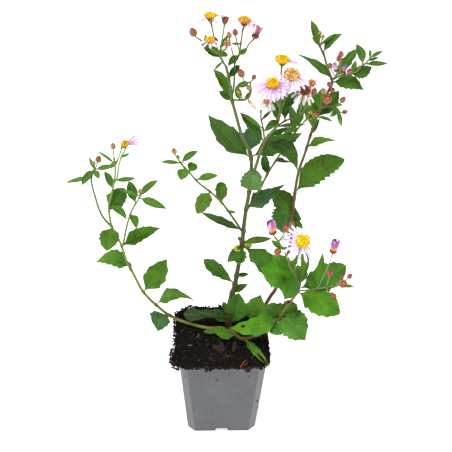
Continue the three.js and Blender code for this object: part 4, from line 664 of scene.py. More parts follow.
class Piece:
    """Blades, tubes and lumps gathered into one mesh, with a tint and a mark at each point"""

    def __init__(self):
        self.points, self.tints, self.marks, self.faces = [], [], [], []
        self.count = 0

    def add(self, points, faces, tint, mark=(0.0, 0.0, 0.0)):
        points = points.reshape(-1, 3)
        tint = np.asarray(tint, float)
        if tint.shape[-1] == 3:
            tint = np.concatenate([tint, np.ones(tint.shape[:-1] + (1,))], -1)
        self.points.append(points)
        self.tints.append(np.broadcast_to(tint.reshape(-1, 4), (len(points), 4)))
        self.marks.append(np.broadcast_to(np.reshape(mark, (-1, 3)), (len(points), 3)))
        self.faces += [part + self.count for part in faces]
        self.count += len(points)

    def build(self, name, material, nodes, slot):
        """The mesh as an object that stands for the nodes"""
        used = np.unique(np.concatenate([part.ravel() for part in self.faces]))
        renumber = np.zeros(self.count, int)
        renumber[used] = np.arange(len(used))
        sizes = np.concatenate([np.full(len(part), part.shape[1]) for part in self.faces])
        corners = renumber[np.concatenate([part.ravel() for part in self.faces])]
        mesh = bpy.data.meshes.new(name)
        mesh.vertices.add(len(used))
        mesh.vertices.foreach_set("co", (np.vstack(self.points)[used] * MM).ravel())
        mesh.loops.add(len(corners))
        mesh.loops.foreach_set("vertex_index", corners)
        mesh.polygons.add(len(sizes))
        mesh.polygons.foreach_set("loop_start", np.cumsum(sizes) - sizes)
        mesh.polygons.foreach_set("use_smooth", np.ones(len(sizes), bool))
        mesh.update(calc_edges=True)
        tint = mesh.attributes.new("tint", "FLOAT_COLOR", "POINT")
        tint.data.foreach_set("color", np.vstack(self.tints)[used].ravel())
        mark = mesh.attributes.new("mark", "FLOAT_VECTOR", "POINT")
        mark.data.foreach_set("vector", np.vstack(self.marks)[used].ravel())
        stand_for(name, mesh, material, nodes)


def stand_for(name, mesh, material, nodes):
    """An object for a mesh, in place of CAD nodes"""
    piece = bpy.data.objects.new(name, mesh)
    bpy.context.scene.collection.objects.link(piece)
    mesh.materials.clear()
    mesh.materials.append(material)
    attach(piece, "root")
    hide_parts(*nodes)


def cells(rows, columns):
    """The corner numbers of the cells of a grid of points"""
    i, j = np.meshgrid(np.arange(rows - 1), np.arange(columns - 1), indexing="ij")
    corner = i * columns + j
    return np.stack([corner, corner + 1, corner + columns + 1, corner + columns], -1)


def blade(rib, side, normal, half, shares, lift, thick, keep=None, ahead=None):
    """A thin closed sheet about a rib: its points and faces.
    half is the half-width and lift the height at each row and column, and thick the half-thickness.
    keep says which cells stay."""
    rows, columns = len(rib), len(shares)
    side, normal = (np.broadcast_to(way, rib.shape) for way in (side, normal))
    grid = rib[:, None] + side[:, None] * (half * shares)[..., None] + normal[:, None] * lift[..., None]
    if ahead is not None:
        grid = grid + ahead
    offset = normal[:, None] * thick[..., None]
    points = np.concatenate([(grid + offset).reshape(-1, 3), (grid - offset).reshape(-1, 3)])
    quads = cells(rows, columns)
    if keep is None:
        keep = np.ones(quads.shape[:2], bool)
    below = rows * columns
    faces = [quads[keep], quads[keep][:, ::-1] + below]
    around = np.pad(keep, 1)
    neighbours = [around[:-2, 1:-1], around[1:-1, 2:], around[2:, 1:-1], around[1:-1, :-2]]
    for k, beside in enumerate(neighbours):
        p = quads[..., k][keep & ~beside]
        q = quads[..., (k + 1) % 4][keep & ~beside]
        faces.append(np.stack([q, p, p + below, q + below], -1))
    return points, faces


def ring_body(centres, first, second, radii):
    """A closed body of rings: its points and faces. radii holds a radius for each ring and side."""
    rings, sides = radii.shape
    first, second = (np.broadcast_to(way, centres.shape) for way in (first, second))
    angles = TAU * np.arange(sides) / sides
    out = first[:, None] * np.cos(angles)[:, None] + second[:, None] * np.sin(angles)[:, None]
    points = centres[:, None] + out * radii[..., None]
    here = np.arange(sides)
    after = (here + 1) % sides
    row = np.arange(rings - 1)[:, None] * sides
    walls = np.stack([row + here, row + after, row + sides + after, row + sides + here], -1)
    last = (rings - 1) * sides
    tail = rings * sides
    foot = np.stack([np.full(sides, tail), after, here], -1)
    head = np.stack([np.full(sides, tail + 1), last + here, last + after], -1)
    points = np.concatenate([points.reshape(-1, 3), centres[:1], centres[-1:]])
    return points, [walls.reshape(-1, 4), foot, head]


def tube(line, radii, sides, ribs=0.0):
    """A round bar along a line of points, with low ribs along it"""
    _, first, second = transported(line)
    angles = TAU * np.arange(sides) / sides
    reach = np.asarray(radii)[:, None] * (1 + ribs * np.cos(5 * angles))
    return ring_body(line, first, second, reach)


def turned(base, axis, heights, radii, sides):
    """A round body about an axis: a radius at each height"""
    return ring_body(base + axis * heights[:, None], *square_to(axis), np.repeat(radii[:, None], sides, 1))


def upright(heights, radii):
    """A closed body of level rings above the origin: a radius for each ring and side"""
    return ring_body(np.outer(heights, UP), (1.0, 0, 0), (0, 1.0, 0), radii)


def between(low, high, share):
    """Colours from low to high for an array of shares"""
    share = np.asarray(share, float)[..., None]
    return linear(low) * (1 - share) + linear(high) * share


def grown_branches():
    """The branches by name: each one's line of points, its curve and its radii along it"""
    grown = {}
    for name, parent, stem, start_radius, end_radius, route in BRANCHES:
        line = [place(*spot) for spot in route]
        if parent == "soil":
            line.insert(0, line[0] - UP * ROOT_DEPTH)
        else:
            line[0] = joint(grown[parent], *route[0][:2])
        curve = smooth_line(line)
        radii = np.interp(
            np.linspace(0, 1, len(curve)), np.linspace(0, 1, len(line)),
            np.linspace(start_radius, end_radius, len(line)))
        grown[name] = {
            "name": name, "stem": stem, "line": np.array(line), "curve": curve, "radii": radii,
            "nodes": []}
    return grown


def joint(branch, x, y):
    """The point of a branch's line that lies closest to a place in the view"""
    line = branch["line"]
    shares = (np.arange(10) / 10)[:, None]
    points = np.vstack([a + (b - a) * shares for a, b in zip(line[:-1], line[1:])])
    return points[np.argmin(np.linalg.norm(seen(points) - (x, y), axis=1))]


def on_curve(branch, point):
    """The point of a branch's smooth curve that lies closest to a point"""
    return branch["curve"][np.argmin(np.linalg.norm(branch["curve"] - point, axis=1))]


def add_stalk(piece, branch):
    """A branch's ribbed stalk, thicker and redder where something grows from it"""
    curve = branch["curve"]
    lengths = np.concatenate([[0], np.cumsum(np.linalg.norm(np.diff(curve, axis=0), axis=1))])
    swell = np.zeros(len(curve))
    for node in branch["nodes"]:
        swell = np.maximum(swell, np.exp(-(np.linalg.norm(curve - node, axis=1) / NODE_REACH) ** 2))
    radii = branch["radii"] * (1 + NODE_SWELL * swell)
    points, faces = tube(curve, radii, STALK_SIDES, 0.05)
    low, high = STEM_COLOURS[branch["name"]]
    tint = between(low, high, lengths / lengths[-1])
    tint = tint + (linear(NODE_COLOUR) - tint) * (NODE_RED * swell)[:, None]
    tints = np.vstack([np.repeat(tint, STALK_SIDES, 0), tint[:1], tint[-1:]])
    angles = np.tile(TAU * np.arange(STALK_SIDES) / STALK_SIDES, len(curve))
    marks = np.stack([np.repeat(lengths, STALK_SIDES), np.cos(angles), np.sin(angles)], -1)
    marks = np.vstack([marks, [[0, 0, 0], [lengths[-1], 0, 0]]])
    piece.add(points, faces, tints, marks)


def copies(template, places, frames, sizes):
    """Copies of a template's points and faces: frames hold three directions each"""
    points, faces = template
    scaled = points[None] * np.reshape(sizes, (len(places), -1, 1) if np.ndim(sizes) == 1 else (-1, 1, 3))
    moved = np.einsum("nij,njk->nik", scaled, frames) + places[:, None]
    steps = np.arange(len(places))[:, None, None] * len(points)
    return moved, [(part[None] + steps).reshape(-1, part.shape[1]) for part in faces]


def spike():
    """A template: a fine cone, 1 long along its third direction and 1 wide at its foot"""
    return upright([0, 0.55, 1.0], np.repeat([[0.5], [0.34], [0.04]], 3, 1))


def spike_sizes(width, lengths):
    """The sizes of fine cones of one width and their own lengths"""
    return np.stack([np.full(len(lengths), width)] * 2 + [lengths], -1)


def frames_about(axes, draw):
    """Frames whose third directions are the axes, turned about them at random"""
    axes = axes / np.linalg.norm(axes, axis=1)[:, None]
    guide = draw.normal(size=axes.shape)
    first = np.cross(guide, axes)
    first /= np.linalg.norm(first, axis=1)[:, None]
    return np.stack([first, np.cross(axes, first), axes], 1)


def add_hairs(piece, branch, draw):
    """Short pale hairs that stand out from a branch"""
    curve = branch["curve"]
    ways, first, second = transported(curve)
    count = len(curve)
    at = draw.integers(1, len(curve) - 1, count)
    angle = draw.uniform(0, TAU, count)[:, None]
    out = first[at] * np.cos(angle) + second[at] * np.sin(angle)
    root = curve[at] + ways[at] * draw.uniform(-0.7, 0.7, count)[:, None]
    root = root + out * (branch["radii"][at] * 0.93)[:, None]
    axes = out + ways[at] * draw.uniform(0.1, 0.9, count)[:, None]
    sizes = spike_sizes(HAIR_WIDTH, draw.uniform(*HAIR_LENGTHS, count))
    points, faces = copies(spike(), root, frames_about(axes, draw), sizes)
    piece.add(points, faces, between(STEM_COLOURS[branch["name"]][0], HAIR_COLOUR, 0.4))


# Each leaf shape: where it is widest, how blunt its sides are, and how pointed its tip is
LEAF_SHAPES = {"ovate": (0.86, 0.82, 0.7), "round": (0.95, 0.55, 0.1), "spoon": (1.5, 0.7, 0.2),
               "lance": (0.9, 0.9, 0.8), "paddle": (2.3, 0.7, 0.1), "broad": (0.7, 0.8, 0.8),
               "blunt": (1.0, 0.6, 0.2), "taper": (0.52, 1.3, 1.0), "oar": (3.2, 0.9, 0.1)}
LEAF_COLUMNS = np.array([0.1, 0.28, 0.5, 0.72, 0.9, 1.0])
NARROW_COLUMNS = np.array([0.3, 0.7, 1.0])


def leaf_outline(t, petiole, shape):
    """A leaf's half-width along its rib, as a share of the widest"""
    bulge, blunt, pointed = LEAF_SHAPES[shape]
    whole = np.sin(math.pi * np.clip(t, 0, 1) ** bulge) ** blunt
    start = 0.8
    taper = np.sin(math.pi * start ** bulge) ** blunt * (np.clip(1 - t, 0, 1) / (1 - start)) ** 1.1
    whole = np.where(t > start, whole + (taper - whole) * pointed, whole)
    rise = smoothstep(t, 0.04, 0.3)
    return petiole + (whole - petiole) * rise


def serration(t, teeth, shift, draw):
    """How far a leaf's edge stands out at its teeth, which point to the tip"""
    if teeth == 0:
        return np.ones_like(t)
    count = teeth + 2
    pitch = (LAST_TOOTH - FIRST_TOOTH) / (count - 1)
    place_in = (t - FIRST_TOOTH) / pitch + shift
    share = place_in % 1
    saw = np.where(share < 0.25, 1 - share / 0.25, ((share - 0.25) / 0.75) ** 1.6)
    depth = TOOTH_DEPTH * draw.uniform(0.4, 1.3, count + 3)[np.clip(place_in + 1, 0, count + 2).astype(int)]
    fade = smoothstep(t, 0.2, 0.36) * (1 - smoothstep(t, 0.8, 0.94))
    return 1 + fade * depth * (saw - 0.45)


def eaten(along, across, middle, radius):
    """A hole in a leaf: which cells it leaves, and how scorched the corners round it are"""
    cell_along = 0.5 * (along[1:] + along[:-1])
    cell_across = 0.25 * (across[1:, 1:] + across[1:, :-1] + across[:-1, 1:] + across[:-1, :-1])
    stays = np.hypot(cell_along - middle[0], cell_across - middle[1]) > radius
    away = np.hypot(along - middle[0], across - middle[1])
    return stays, SCORCH * (1 - smoothstep(away, radius, radius + SCORCH_WIDTH))


def add_leaf(piece, row, seed):
    """A leaf: a thin arched blade with a folded rib, toothed edges, and veins that pucker it"""
    branch_name, x, y, tip_x, tip_y, behind, width, lean, arch, teeth, look, shape = row[:12]
    traits = row[12] if len(row) > 12 else {}
    draw = np.random.default_rng(seed)
    branch = branches[branch_name]
    start = joint(branch, x, y)
    root = on_curve(branch, start)
    branch["nodes"].append(root)
    tip = place(tip_x, tip_y, start[1] + behind)
    length = np.linalg.norm(tip - root)
    along = (tip - root) / length
    face = unit(UP * (1 - lean) - FORWARD * lean)
    side = unit(np.cross(along, face))
    normal = np.cross(side, along)

    small = width < FOLDED_WIDTH
    columns = NARROW_COLUMNS if small else LEAF_COLUMNS
    shares = np.concatenate([-columns[::-1], [0.0], columns])
    steps = int(np.clip(length / LEAF_STEP, 12, 58))
    t = np.linspace(0, 1, steps + 1)
    petiole = min(0.4, 1.0 / width)
    outline = leaf_outline(t, petiole, shape)
    outline[-1] = 0.02
    edges = [serration(t, teeth, draw.uniform(-0.12, 0.12), draw) for _ in range(2)]
    standing = np.where(shares[None] < 0, edges[0][:, None], edges[1][:, None])
    half = 0.5 * width * outline[:, None] * (1 + (standing - 1) * np.abs(shares) ** 3)

    across = half * shares
    spacing = min(VEIN_SPACING, max(2.2, length / 7))
    phase = (t[:, None] * length - 0.85 * np.abs(across)) / spacing + draw.uniform()
    body = smoothstep(t, 0.1, 0.25)[:, None] * np.abs(shares) * (1.3 - np.abs(shares))
    reach = np.abs(across)
    lift = arch * 4 * (t * (1 - t))[:, None] + (0.0 if small else LEAF_FOLD) * reach
    lift = lift + 0.016 * width * body * (1 - np.cos(TAU * phase))
    waves = [np.sin(TAU * (t * draw.uniform(1.6, 2.6) + draw.uniform())) for _ in range(2)]
    wave = np.where(shares[None] < 0, waves[0][:, None], waves[1][:, None])
    lift = lift + 0.035 * width * wave * shares ** 2 * smoothstep(t, 0.1, 0.4)[:, None]

    rib_radius = 0.1 + 0.5 * (1 - t) ** 2 * min(1.0, width / 14)
    ridge = rib_radius[:, None] * np.exp(-(across / (1.1 * rib_radius[:, None])) ** 2)
    thick = LEAF_HALF + 0.5 * ridge
    lift = lift - 0.35 * ridge
    thick[-1] = 0.5 * LEAF_HALF

    rib = root + along * (length * t)[:, None]
    sway = traits.get("bend", 0.0) + draw.uniform(-0.02, 0.02) * length
    rib = rib + side * (sway * 4 * t * (1 - t))[:, None]
    ahead = along * (0.05 * width * np.abs(shares) ** 2 * outline[:, None])[..., None] * \
        smoothstep(t, 0.05, 0.35)[:, None, None] * (1 - smoothstep(t, 0.85, 1.0))[:, None, None]

    rows = len(t)
    tint = linear(LEAF_COLOURS[look]) * draw.uniform((0.88, 0.92, 0.85), (1.12, 1.08, 1.15))
    tints = np.tile(tint, (2, rows, len(shares), 1))
    keep = np.ones((rows - 1, len(shares) - 1), bool)
    for hole_t, hole_share, radius in traits.get("holes", ()):
        middle = hole_t * length, hole_share * half[int(hole_t * steps)].max()
        stays, scorch = eaten(t[:, None] * length, across, middle, radius)
        keep &= stays
        tints = tints + (linear(SCORCH_COLOUR) - tints) * scorch[..., None]
    alpha = np.ones(tints.shape[:-1] + (1,))
    alpha[1] = 0
    tints = np.concatenate([tints, alpha], -1)
    marks = np.stack([phase, across, np.broadcast_to(t[:, None], across.shape)], -1)
    points, faces = blade(rib, side, normal, half, shares, lift, thick, keep, ahead)
    piece.add(points, faces, tints, np.concatenate([marks.reshape(-1, 3)] * 2))


def add_bract(piece, base, axis, out, heights, radii, width, spread, colours, draw):
    """A small pointed scale that lies against a bud or cup"""
    share = np.linspace(0, 1, 5)
    side = np.cross(axis, out)
    reach = radii + 0.1 + spread * share ** 2
    rib = base + axis * heights[:, None] + out * reach[:, None]
    half = 0.5 * width * np.array([0.8, 1.0, 0.9, 0.55, 0.05])
    shares = np.array([-1.0, 0.0, 1.0])
    half = np.repeat(half[:, None], 3, 1)
    lift = -(half * shares) ** 2 / (2 * np.maximum(reach[:, None], 0.6))
    thick = np.full((5, 3), BRACT_HALF) * np.array([0.6, 1.0, 0.6])
    points, faces = blade(rib, side, out, half, shares, lift, thick)
    tint = between(*colours, np.clip(share * 1.4 - 0.15, 0, 1)) * draw.uniform(0.7, 1.25)
    tint = tint * np.array([0.7, 0.95, 1.15, 1.0, 0.6])[:, None]
    piece.add(points, faces, np.tile(np.repeat(tint, 3, 0), (2, 1)))


def add_scaly_body(piece, base, axis, heights, radii, rows, around, spread, colours, draw):
    """A bud or cup: a round body under rows of scales, the upper ones more open"""
    points, faces = turned(base, axis, heights, radii, BUD_SIDES)
    # Painted shade: the body under the scales is 45% as bright as their colours, so the gaps between them
    # look shaded
    inner = between(*colours, np.linspace(0, 1, len(heights))) * 0.45
    piece.add(points, faces, np.vstack([np.repeat(inner, BUD_SIDES, 0), inner[:1], inner[-1:]]))
    first, second = square_to(axis)
    top = heights[-1]
    for row in range(rows):
        low = top * 0.72 * row / rows
        high = min(top * (0.99 if rows < 3 else 0.95), low + top * 0.5) + spread * row / rows
        span = np.linspace(low, high, 5)
        level = np.interp(span, heights, radii)
        for k in range(around):
            angle = TAU * (k + 0.5 * (row % 2)) / around + draw.uniform(-0.1, 0.1)
            out = first * math.cos(angle) + second * math.sin(angle)
            width = 1.15 * TAU * max(level.max(), 0.5) / around
            stand = spread * (row + 1) / rows
            add_bract(piece, base, axis, out, span, level, width, stand, colours, draw)


def add_pedicel(piece, branch, start, base, axis, colour, radius=PEDICEL_RADIUS):
    """The thin stalk of a bud or bloom, from its branch to the foot of its head"""
    root = on_curve(branch, start)
    branch["nodes"].append(root)
    distance = np.linalg.norm(base - root)
    count = max(4, int(distance / 1.5))
    line = bend_line(root, base - axis * 0.4 * distance, base + axis * 0.2, count)
    radii = radius * np.interp(np.linspace(0, 1, count), [0, 0.1, 0.85, 1], [1.3, 1.0, 0.9, 1.3])
    points, faces = tube(line, radii, PEDICEL_SIDES)
    piece.add(points, faces, linear(colour))


def growth(start, middle):
    """The way that a bud or closed bloom points: on from its stalk, and a little upwards"""
    return unit(unit(middle - start) + UP * 0.5)


BUD_HEIGHTS = np.array([0.0, 0.06, 0.2, 0.42, 0.65, 0.85, 1.0])
BUD_RADII = {
  "shut": np.array([0.3, 0.62, 0.92, 1.0, 0.86, 0.5, 0.1]),
  "open": np.array([0.3, 0.52, 0.76, 0.88, 0.92, 0.94, 0.9]),
  "rosette": np.array([0.3, 0.6, 0.85, 0.95, 0.9, 0.8, 0.5]),
  "slim": np.array([0.3, 0.36, 0.42, 0.4, 0.34, 0.24, 0.05]),
}
BUD_FORMS = {"open": "open", "rosette": "rosette", "withered": "slim"}


def add_bud(piece, row, seed):
    """A bud on its stalk, shut, or open in a ring of pointed scales round a few florets"""
    branch_name, x, y, bud_x, bud_y, behind, length, look = row
    draw = np.random.default_rng(seed)
    branch = branches[branch_name]
    start = joint(branch, x, y)
    middle = place(bud_x, bud_y, start[1] + behind)
    axis = unit(growth(start, middle) - FORWARD * 2) if look == "rosette" else growth(start, middle)
    base = middle - axis * length / 2
    add_pedicel(piece, branch, start, base, axis, STEM_COLOURS[branch_name][1])
    opened = look in ("open", "rosette")
    belly = (0.3 if look == "open" else 0.4) * length
    radii = BUD_RADII[BUD_FORMS.get(look, "shut")] * belly
    spread = {"open": 0.22, "rosette": 0.26}.get(look, 0.03) * length
    heights = BUD_HEIGHTS * length * (0.8 if opened else 1.0)
    add_scaly_body(piece, base, axis, heights, radii, 4, 8, spread, BUD_COLOURS[look], draw)
    if opened:
        out, share = spiral(axis, BUD_FLORETS)
        places = base + axis * (0.72 * length) + out * (share * belly * 0.55)[:, None]
        frames = frames_about(axis + out * 0.3, draw)
        points, faces = copies(KNOB, places, frames, np.full(BUD_FLORETS, 0.9))
        piece.add(points, faces, linear(BUD_FLORET_COLOURS[look]))


def facing(turn, height):
    """The way that a bloom faces"""
    t, h = math.radians(turn), math.radians(height)
    return np.array([math.sin(t) * math.cos(h), -math.cos(t) * math.cos(h), math.sin(h)])


def bloom_seat(row):
    """A bloom's stalk start, its axis and the foot of its cup"""
    _, branch_name, x, y, disc_x, disc_y, behind, turn, height = row[:9]
    start = joint(branches[branch_name], x, y)
    axis = facing(turn, height)
    return start, axis, place(disc_x, disc_y, start[1] + behind) - axis * DISC_SEAT


CUP_HEIGHTS = np.array([0.0, 0.3, 1.2, 2.6, 4.0])
CUP_RADII = np.array([0.25, 0.5, 0.72, 0.9, 1.0])


def add_cup(piece, row, seed):
    """The scaly cup under an open bloom, on its stalk"""
    draw = np.random.default_rng(seed)
    start, axis, foot = bloom_seat(row)
    branch_name, look = row[1], row[-1]
    add_pedicel(piece, branches[branch_name], start, foot, axis, STEM_COLOURS[branch_name][1],
                BLOOM_STALK_RADIUS)
    radius = CUP_SHARE * row[9]
    add_scaly_body(piece, foot, axis, CUP_HEIGHTS * CUP_HEIGHT / 4, CUP_RADII * radius, 3, 11, 0.5,
                   CUP_COLOURS[look], draw)


# Across a strip such as a furled petal or a shred, and across a petal: its columns, how far each ends
# behind the tip, and its grooves
STRIP_SHARES = np.array([-1.0, -0.5, 0.0, 0.5, 1.0])
RAY_SHARES = np.array([-1.0, -0.68, -0.34, 0.0, 0.34, 0.68, 1.0])
RAY_NOTCH = np.array([-0.7, -0.2, -0.05, -0.12, -0.05, -0.2, -0.7])
RAY_GROOVES = np.array([0.0, 0.09, -0.05, 0.05, -0.05, 0.09, 0.0])

# A petal's half-width along it, as a share of the widest
RAY_OUTLINE = ([0, 0.15, 0.5, 0.78, 0.93, 1.0], [0.3, 0.5, 0.86, 1.0, 0.86, 0.5])


def strip_marks(t, shares, own):
    """The marks on a petal's two sides: the place along it and across it, and a number of its own"""
    shape = (len(t), len(shares))
    marks = [np.broadcast_to(t[:, None], shape), np.broadcast_to(shares, shape), np.full(shape, own)]
    return np.tile(np.stack(marks, -1).reshape(-1, 3), (2, 1))


def add_ray(piece, root, way, axis, length, width, slope, colours, draw):
    """One petal: a grooved strip that bends by its droop, more and more towards its tip, and ends in a
    notched round tip
    """
    t = np.linspace(0, 1, 13)
    angle = slope * (0.35 + 1.3 * t)
    step = length / (len(t) - 1)
    out = np.concatenate([[0], np.cumsum(np.cos(angle[:-1]) * step)])
    down = np.concatenate([[0], np.cumsum(np.sin(angle[:-1]) * step)])
    twist = draw.uniform(-0.25, 0.25) * t
    side = np.cross(axis, way)
    rib = root + way * out[:, None] - axis * down[:, None]
    rib = rib + side * (draw.uniform(-0.07, 0.07) * length * t ** 2)[:, None]
    heading = way * np.cos(angle)[:, None] - axis * np.sin(angle)[:, None]
    up = np.cross(heading, side)
    sides = side * np.cos(twist)[:, None] + up * np.sin(twist)[:, None]
    normals = np.cross(heading, sides)
    half = 0.5 * width * np.interp(t, *RAY_OUTLINE)
    half = np.repeat(half[:, None], len(RAY_SHARES), 1)
    curl = draw.uniform(0.0, 0.35)
    lift = RAY_GROOVES * width + curl * (half * RAY_SHARES) ** 2 / width
    thick = np.full(lift.shape, PETAL_HALF) * np.interp(t, [0, 1], [1.3, 0.7])[:, None]
    ahead = heading[-1] * (RAY_NOTCH * width * 0.5)[:, None]
    ahead = ahead * smoothstep(t, 0.8, 1.0)[:, None, None]
    points, faces = blade(rib, sides, normals, half, RAY_SHARES, lift, thick, None, ahead)
    low, high = (linear(c) for c in colours)
    tint = low + (high - low) * smoothstep(t, 0.0, 0.7)[:, None]
    tint = tint * draw.uniform(0.94, 1.04)
    marks = strip_marks(t, RAY_SHARES, draw.uniform(0, 9))
    piece.add(points, faces, np.tile(np.repeat(tint, len(RAY_SHARES), 0), (2, 1)), marks)


def view_square(axis):
    """Two directions square to a bloom's axis: to the right in the view, and up in it"""
    right = unit(ACROSS - axis * (ACROSS @ axis))
    return right, np.cross(axis, right)


def add_rays(piece, row, seed):
    """The petals of an open bloom, from under its disc's edge"""
    disc_width, length, first_angle, last_angle, count, droop, look = row[9:]
    draw = np.random.default_rng(seed)
    _, axis, foot = bloom_seat(row)
    first, second = view_square(axis)
    hub = 0.45 * disc_width
    middle = foot + axis * PETAL_PLANE
    step = math.radians(last_angle - first_angle) / max(1, count - 1)
    for k in range(count):
        angle = math.radians(first_angle) + step * k + draw.uniform(-0.12, 0.12) * step
        way = first * math.cos(angle) + second * math.sin(angle)
        inner = 0.5 * hub
        root = middle + way * inner + axis * draw.uniform(-0.2, 0.2)
        slope = math.radians(droop) + draw.uniform(-0.12, 0.12) * (3 if look in WORN_LOOKS else 1)
        reach = (hub - inner + length) * draw.uniform(0.9, 1.04)
        width = PETAL_WIDTH * draw.uniform(0.88, 1.1) * RAY_WIDTHS[look]
        add_ray(piece, root, way, axis, reach, width, slope, RAY_COLOURS[look], draw)


GOLDEN_ANGLE = math.pi * (3 - math.sqrt(5))


def spiral(axis, count):
    """The directions of florets set in a spiral round an axis, and their shares of the way out"""
    k = np.arange(count)
    return around_axis(axis, k * GOLDEN_ANGLE), np.sqrt((k + 0.5) / count)


def floret_template():
    """A template: a tube, 1 high, that opens in a star of five lobes"""
    radii = np.array([0.16, 0.18, 0.24, 0.42, 0.1])[:, None] * np.ones(10)
    radii[3] = radii[3] * np.tile([1.0, 0.55], 5)
    return upright([0.0, 0.5, 0.8, 1.0, 0.82], radii)


def knob_template():
    """A template: a shut floret, 1 high"""
    radii = np.array([0.16, 0.24, 0.3, 0.2, 0.04])[:, None] * np.ones(6)
    return upright([0.0, 0.35, 0.65, 0.88, 1.0], radii)


FLORET = floret_template()
KNOB = knob_template()


def add_disc(piece, row, seed):
    """A bloom's disc: a low dome covered in florets, set in a spiral, the middle ones still shut"""
    draw = np.random.default_rng(seed)
    _, axis, foot = bloom_seat(row)
    look = row[-1]
    radius = row[9] / 2
    base = foot + axis * DISC_SEAT
    colours = DISC_COLOURS[look]
    dome = 0.32 * radius
    heights = dome * np.array([-0.25, 0.0, 0.45, 0.75, 0.95, 1.0])
    radii = radius * np.array([0.8, 0.86, 0.7, 0.48, 0.22, 0.02])
    points, faces = turned(base, axis, heights, radii, DISC_SIDES)
    # Painted shade: the dome under the florets is 70% as bright as their darker colour, so the gaps between
    # them look shaded
    piece.add(points, faces, linear(colours[0]) * 0.7)
    worn = look == "faded" or look in WORN_LOOKS
    height, loose, crowd = DISC_FORMS[look]
    count = int(crowd * radius ** 2) + (4 if worn else 14)
    out, share = spiral(axis, count)
    places = base + out * (0.9 * radius * share)[:, None]
    places = places + axis * (dome * (1 - share ** 2.4) - 0.25)[:, None]
    axes = axis + out * (0.85 * share ** 2)[:, None] + draw.normal(0, loose, (count, 3)) * 0.6
    frames = frames_about(axes, draw)
    sizes = height * draw.uniform(0.8, 1.15, count)
    sizes = sizes * np.where(share < 0.42, 0.8, 1.0)
    shut = (share < 0.42) | (draw.uniform(size=count) < (0.5 if worn else 0.08))
    tint = between(*colours, np.clip(0.3 + 0.7 * share + draw.normal(0, 0.22, count), 0, 1))
    if look in RIM_COLOURS:
        rim = smoothstep(share + draw.uniform(-0.1, 0.1, count), 0.76, 0.92)[:, None]
        tint = tint + (linear(RIM_COLOURS[look]) - tint) * rim
    if look == "faded":
        tint = np.where((draw.uniform(size=count) < 0.2)[:, None], linear(DRY_FLORET_COLOUR), tint)
    for template, chosen in ((FLORET, ~shut), (KNOB, shut)):
        if chosen.any():
            points, faces = copies(template, places[chosen], frames[chosen], sizes[chosen])
            # Painted shade: each floret's colour runs from 75% at its foot, crowded among the others, to
            # full strength at its top
            rings = np.linspace(0.75, 1.08, len(template[0]))[None, :, None]
            piece.add(points, faces, tint[chosen][:, None] * rings)
    if worn:
        add_pappus(piece, base, axis, radius, draw)


def add_pappus(piece, base, axis, radius, draw):
    """The fine bristles of a spent disc"""
    count = PAPPUS_COUNT
    out = around_axis(axis, draw.uniform(0, TAU, count))
    places = base + out * (radius * draw.uniform(0.5, 0.95, count))[:, None]
    frames = frames_about(axis + out * draw.uniform(0.2, 0.9, count)[:, None], draw)
    sizes = spike_sizes(PAPPUS_WIDTH, draw.uniform(*PAPPUS_LENGTHS, count))
    points, faces = copies(spike(), places, frames, sizes)
    piece.add(points, faces, linear(PAPPUS_COLOUR))


def closed_seat(row):
    """A closed bloom's stalk start, its axis and the foot of its petals"""
    _, branch_name, x, y, middle_x, middle_y, behind, _, length = row[:9]
    start = joint(branches[branch_name], x, y)
    middle = place(middle_x, middle_y, start[1] + behind)
    axis = growth(start, middle)
    return start, axis, middle - axis * length / 2


def add_closed_cup(piece, row, seed):
    """The small scaly cup that holds a closed bloom"""
    draw = np.random.default_rng(seed)
    start, axis, foot = closed_seat(row)
    base = foot - axis * (CLOSED_CUP_HEIGHT + 0.1)
    add_pedicel(piece, branches[row[1]], start, base, axis, STEM_COLOURS[row[1]][1])
    heights = CLOSED_CUP_HEIGHT * np.array([0.0, 0.12, 0.4, 0.75, 1.0])
    radii = 0.4 * row[7] * np.array([0.3, 0.62, 0.92, 1.0, 0.96])
    add_scaly_body(piece, base, axis, heights, radii, 3, 9, 0.35, CLOSED_CUP_COLOURS, draw)


FURLED_HEIGHTS = np.array([0.0, 0.15, 0.4, 0.65, 0.85, 1.0])
FURLED_RADII = {
  "shut": np.array([0.62, 0.8, 0.96, 1.0, 0.94, 0.72]),
  "flared": np.array([0.6, 0.7, 0.82, 0.96, 1.12, 1.3]),
}

# Each closed bloom's look: its form, its petals' colours at the foot, and those that they take above
FURLED_LOOKS = {
  "pink": ("shut", (240, 150, 60), ((168, 96, 170), (192, 124, 180), (208, 154, 198), (176, 104, 172))),
  "salmon": ("flared", (140, 76, 70), ((186, 104, 104), (206, 140, 150), (236, 214, 220), (196, 130, 160))),
  "pale": ("shut", (206, 150, 130), ((196, 140, 200), (224, 188, 222), (212, 168, 214))),
  "purple": ("shut", (200, 120, 110), ((172, 98, 180), (196, 130, 196), (150, 78, 166))),
}


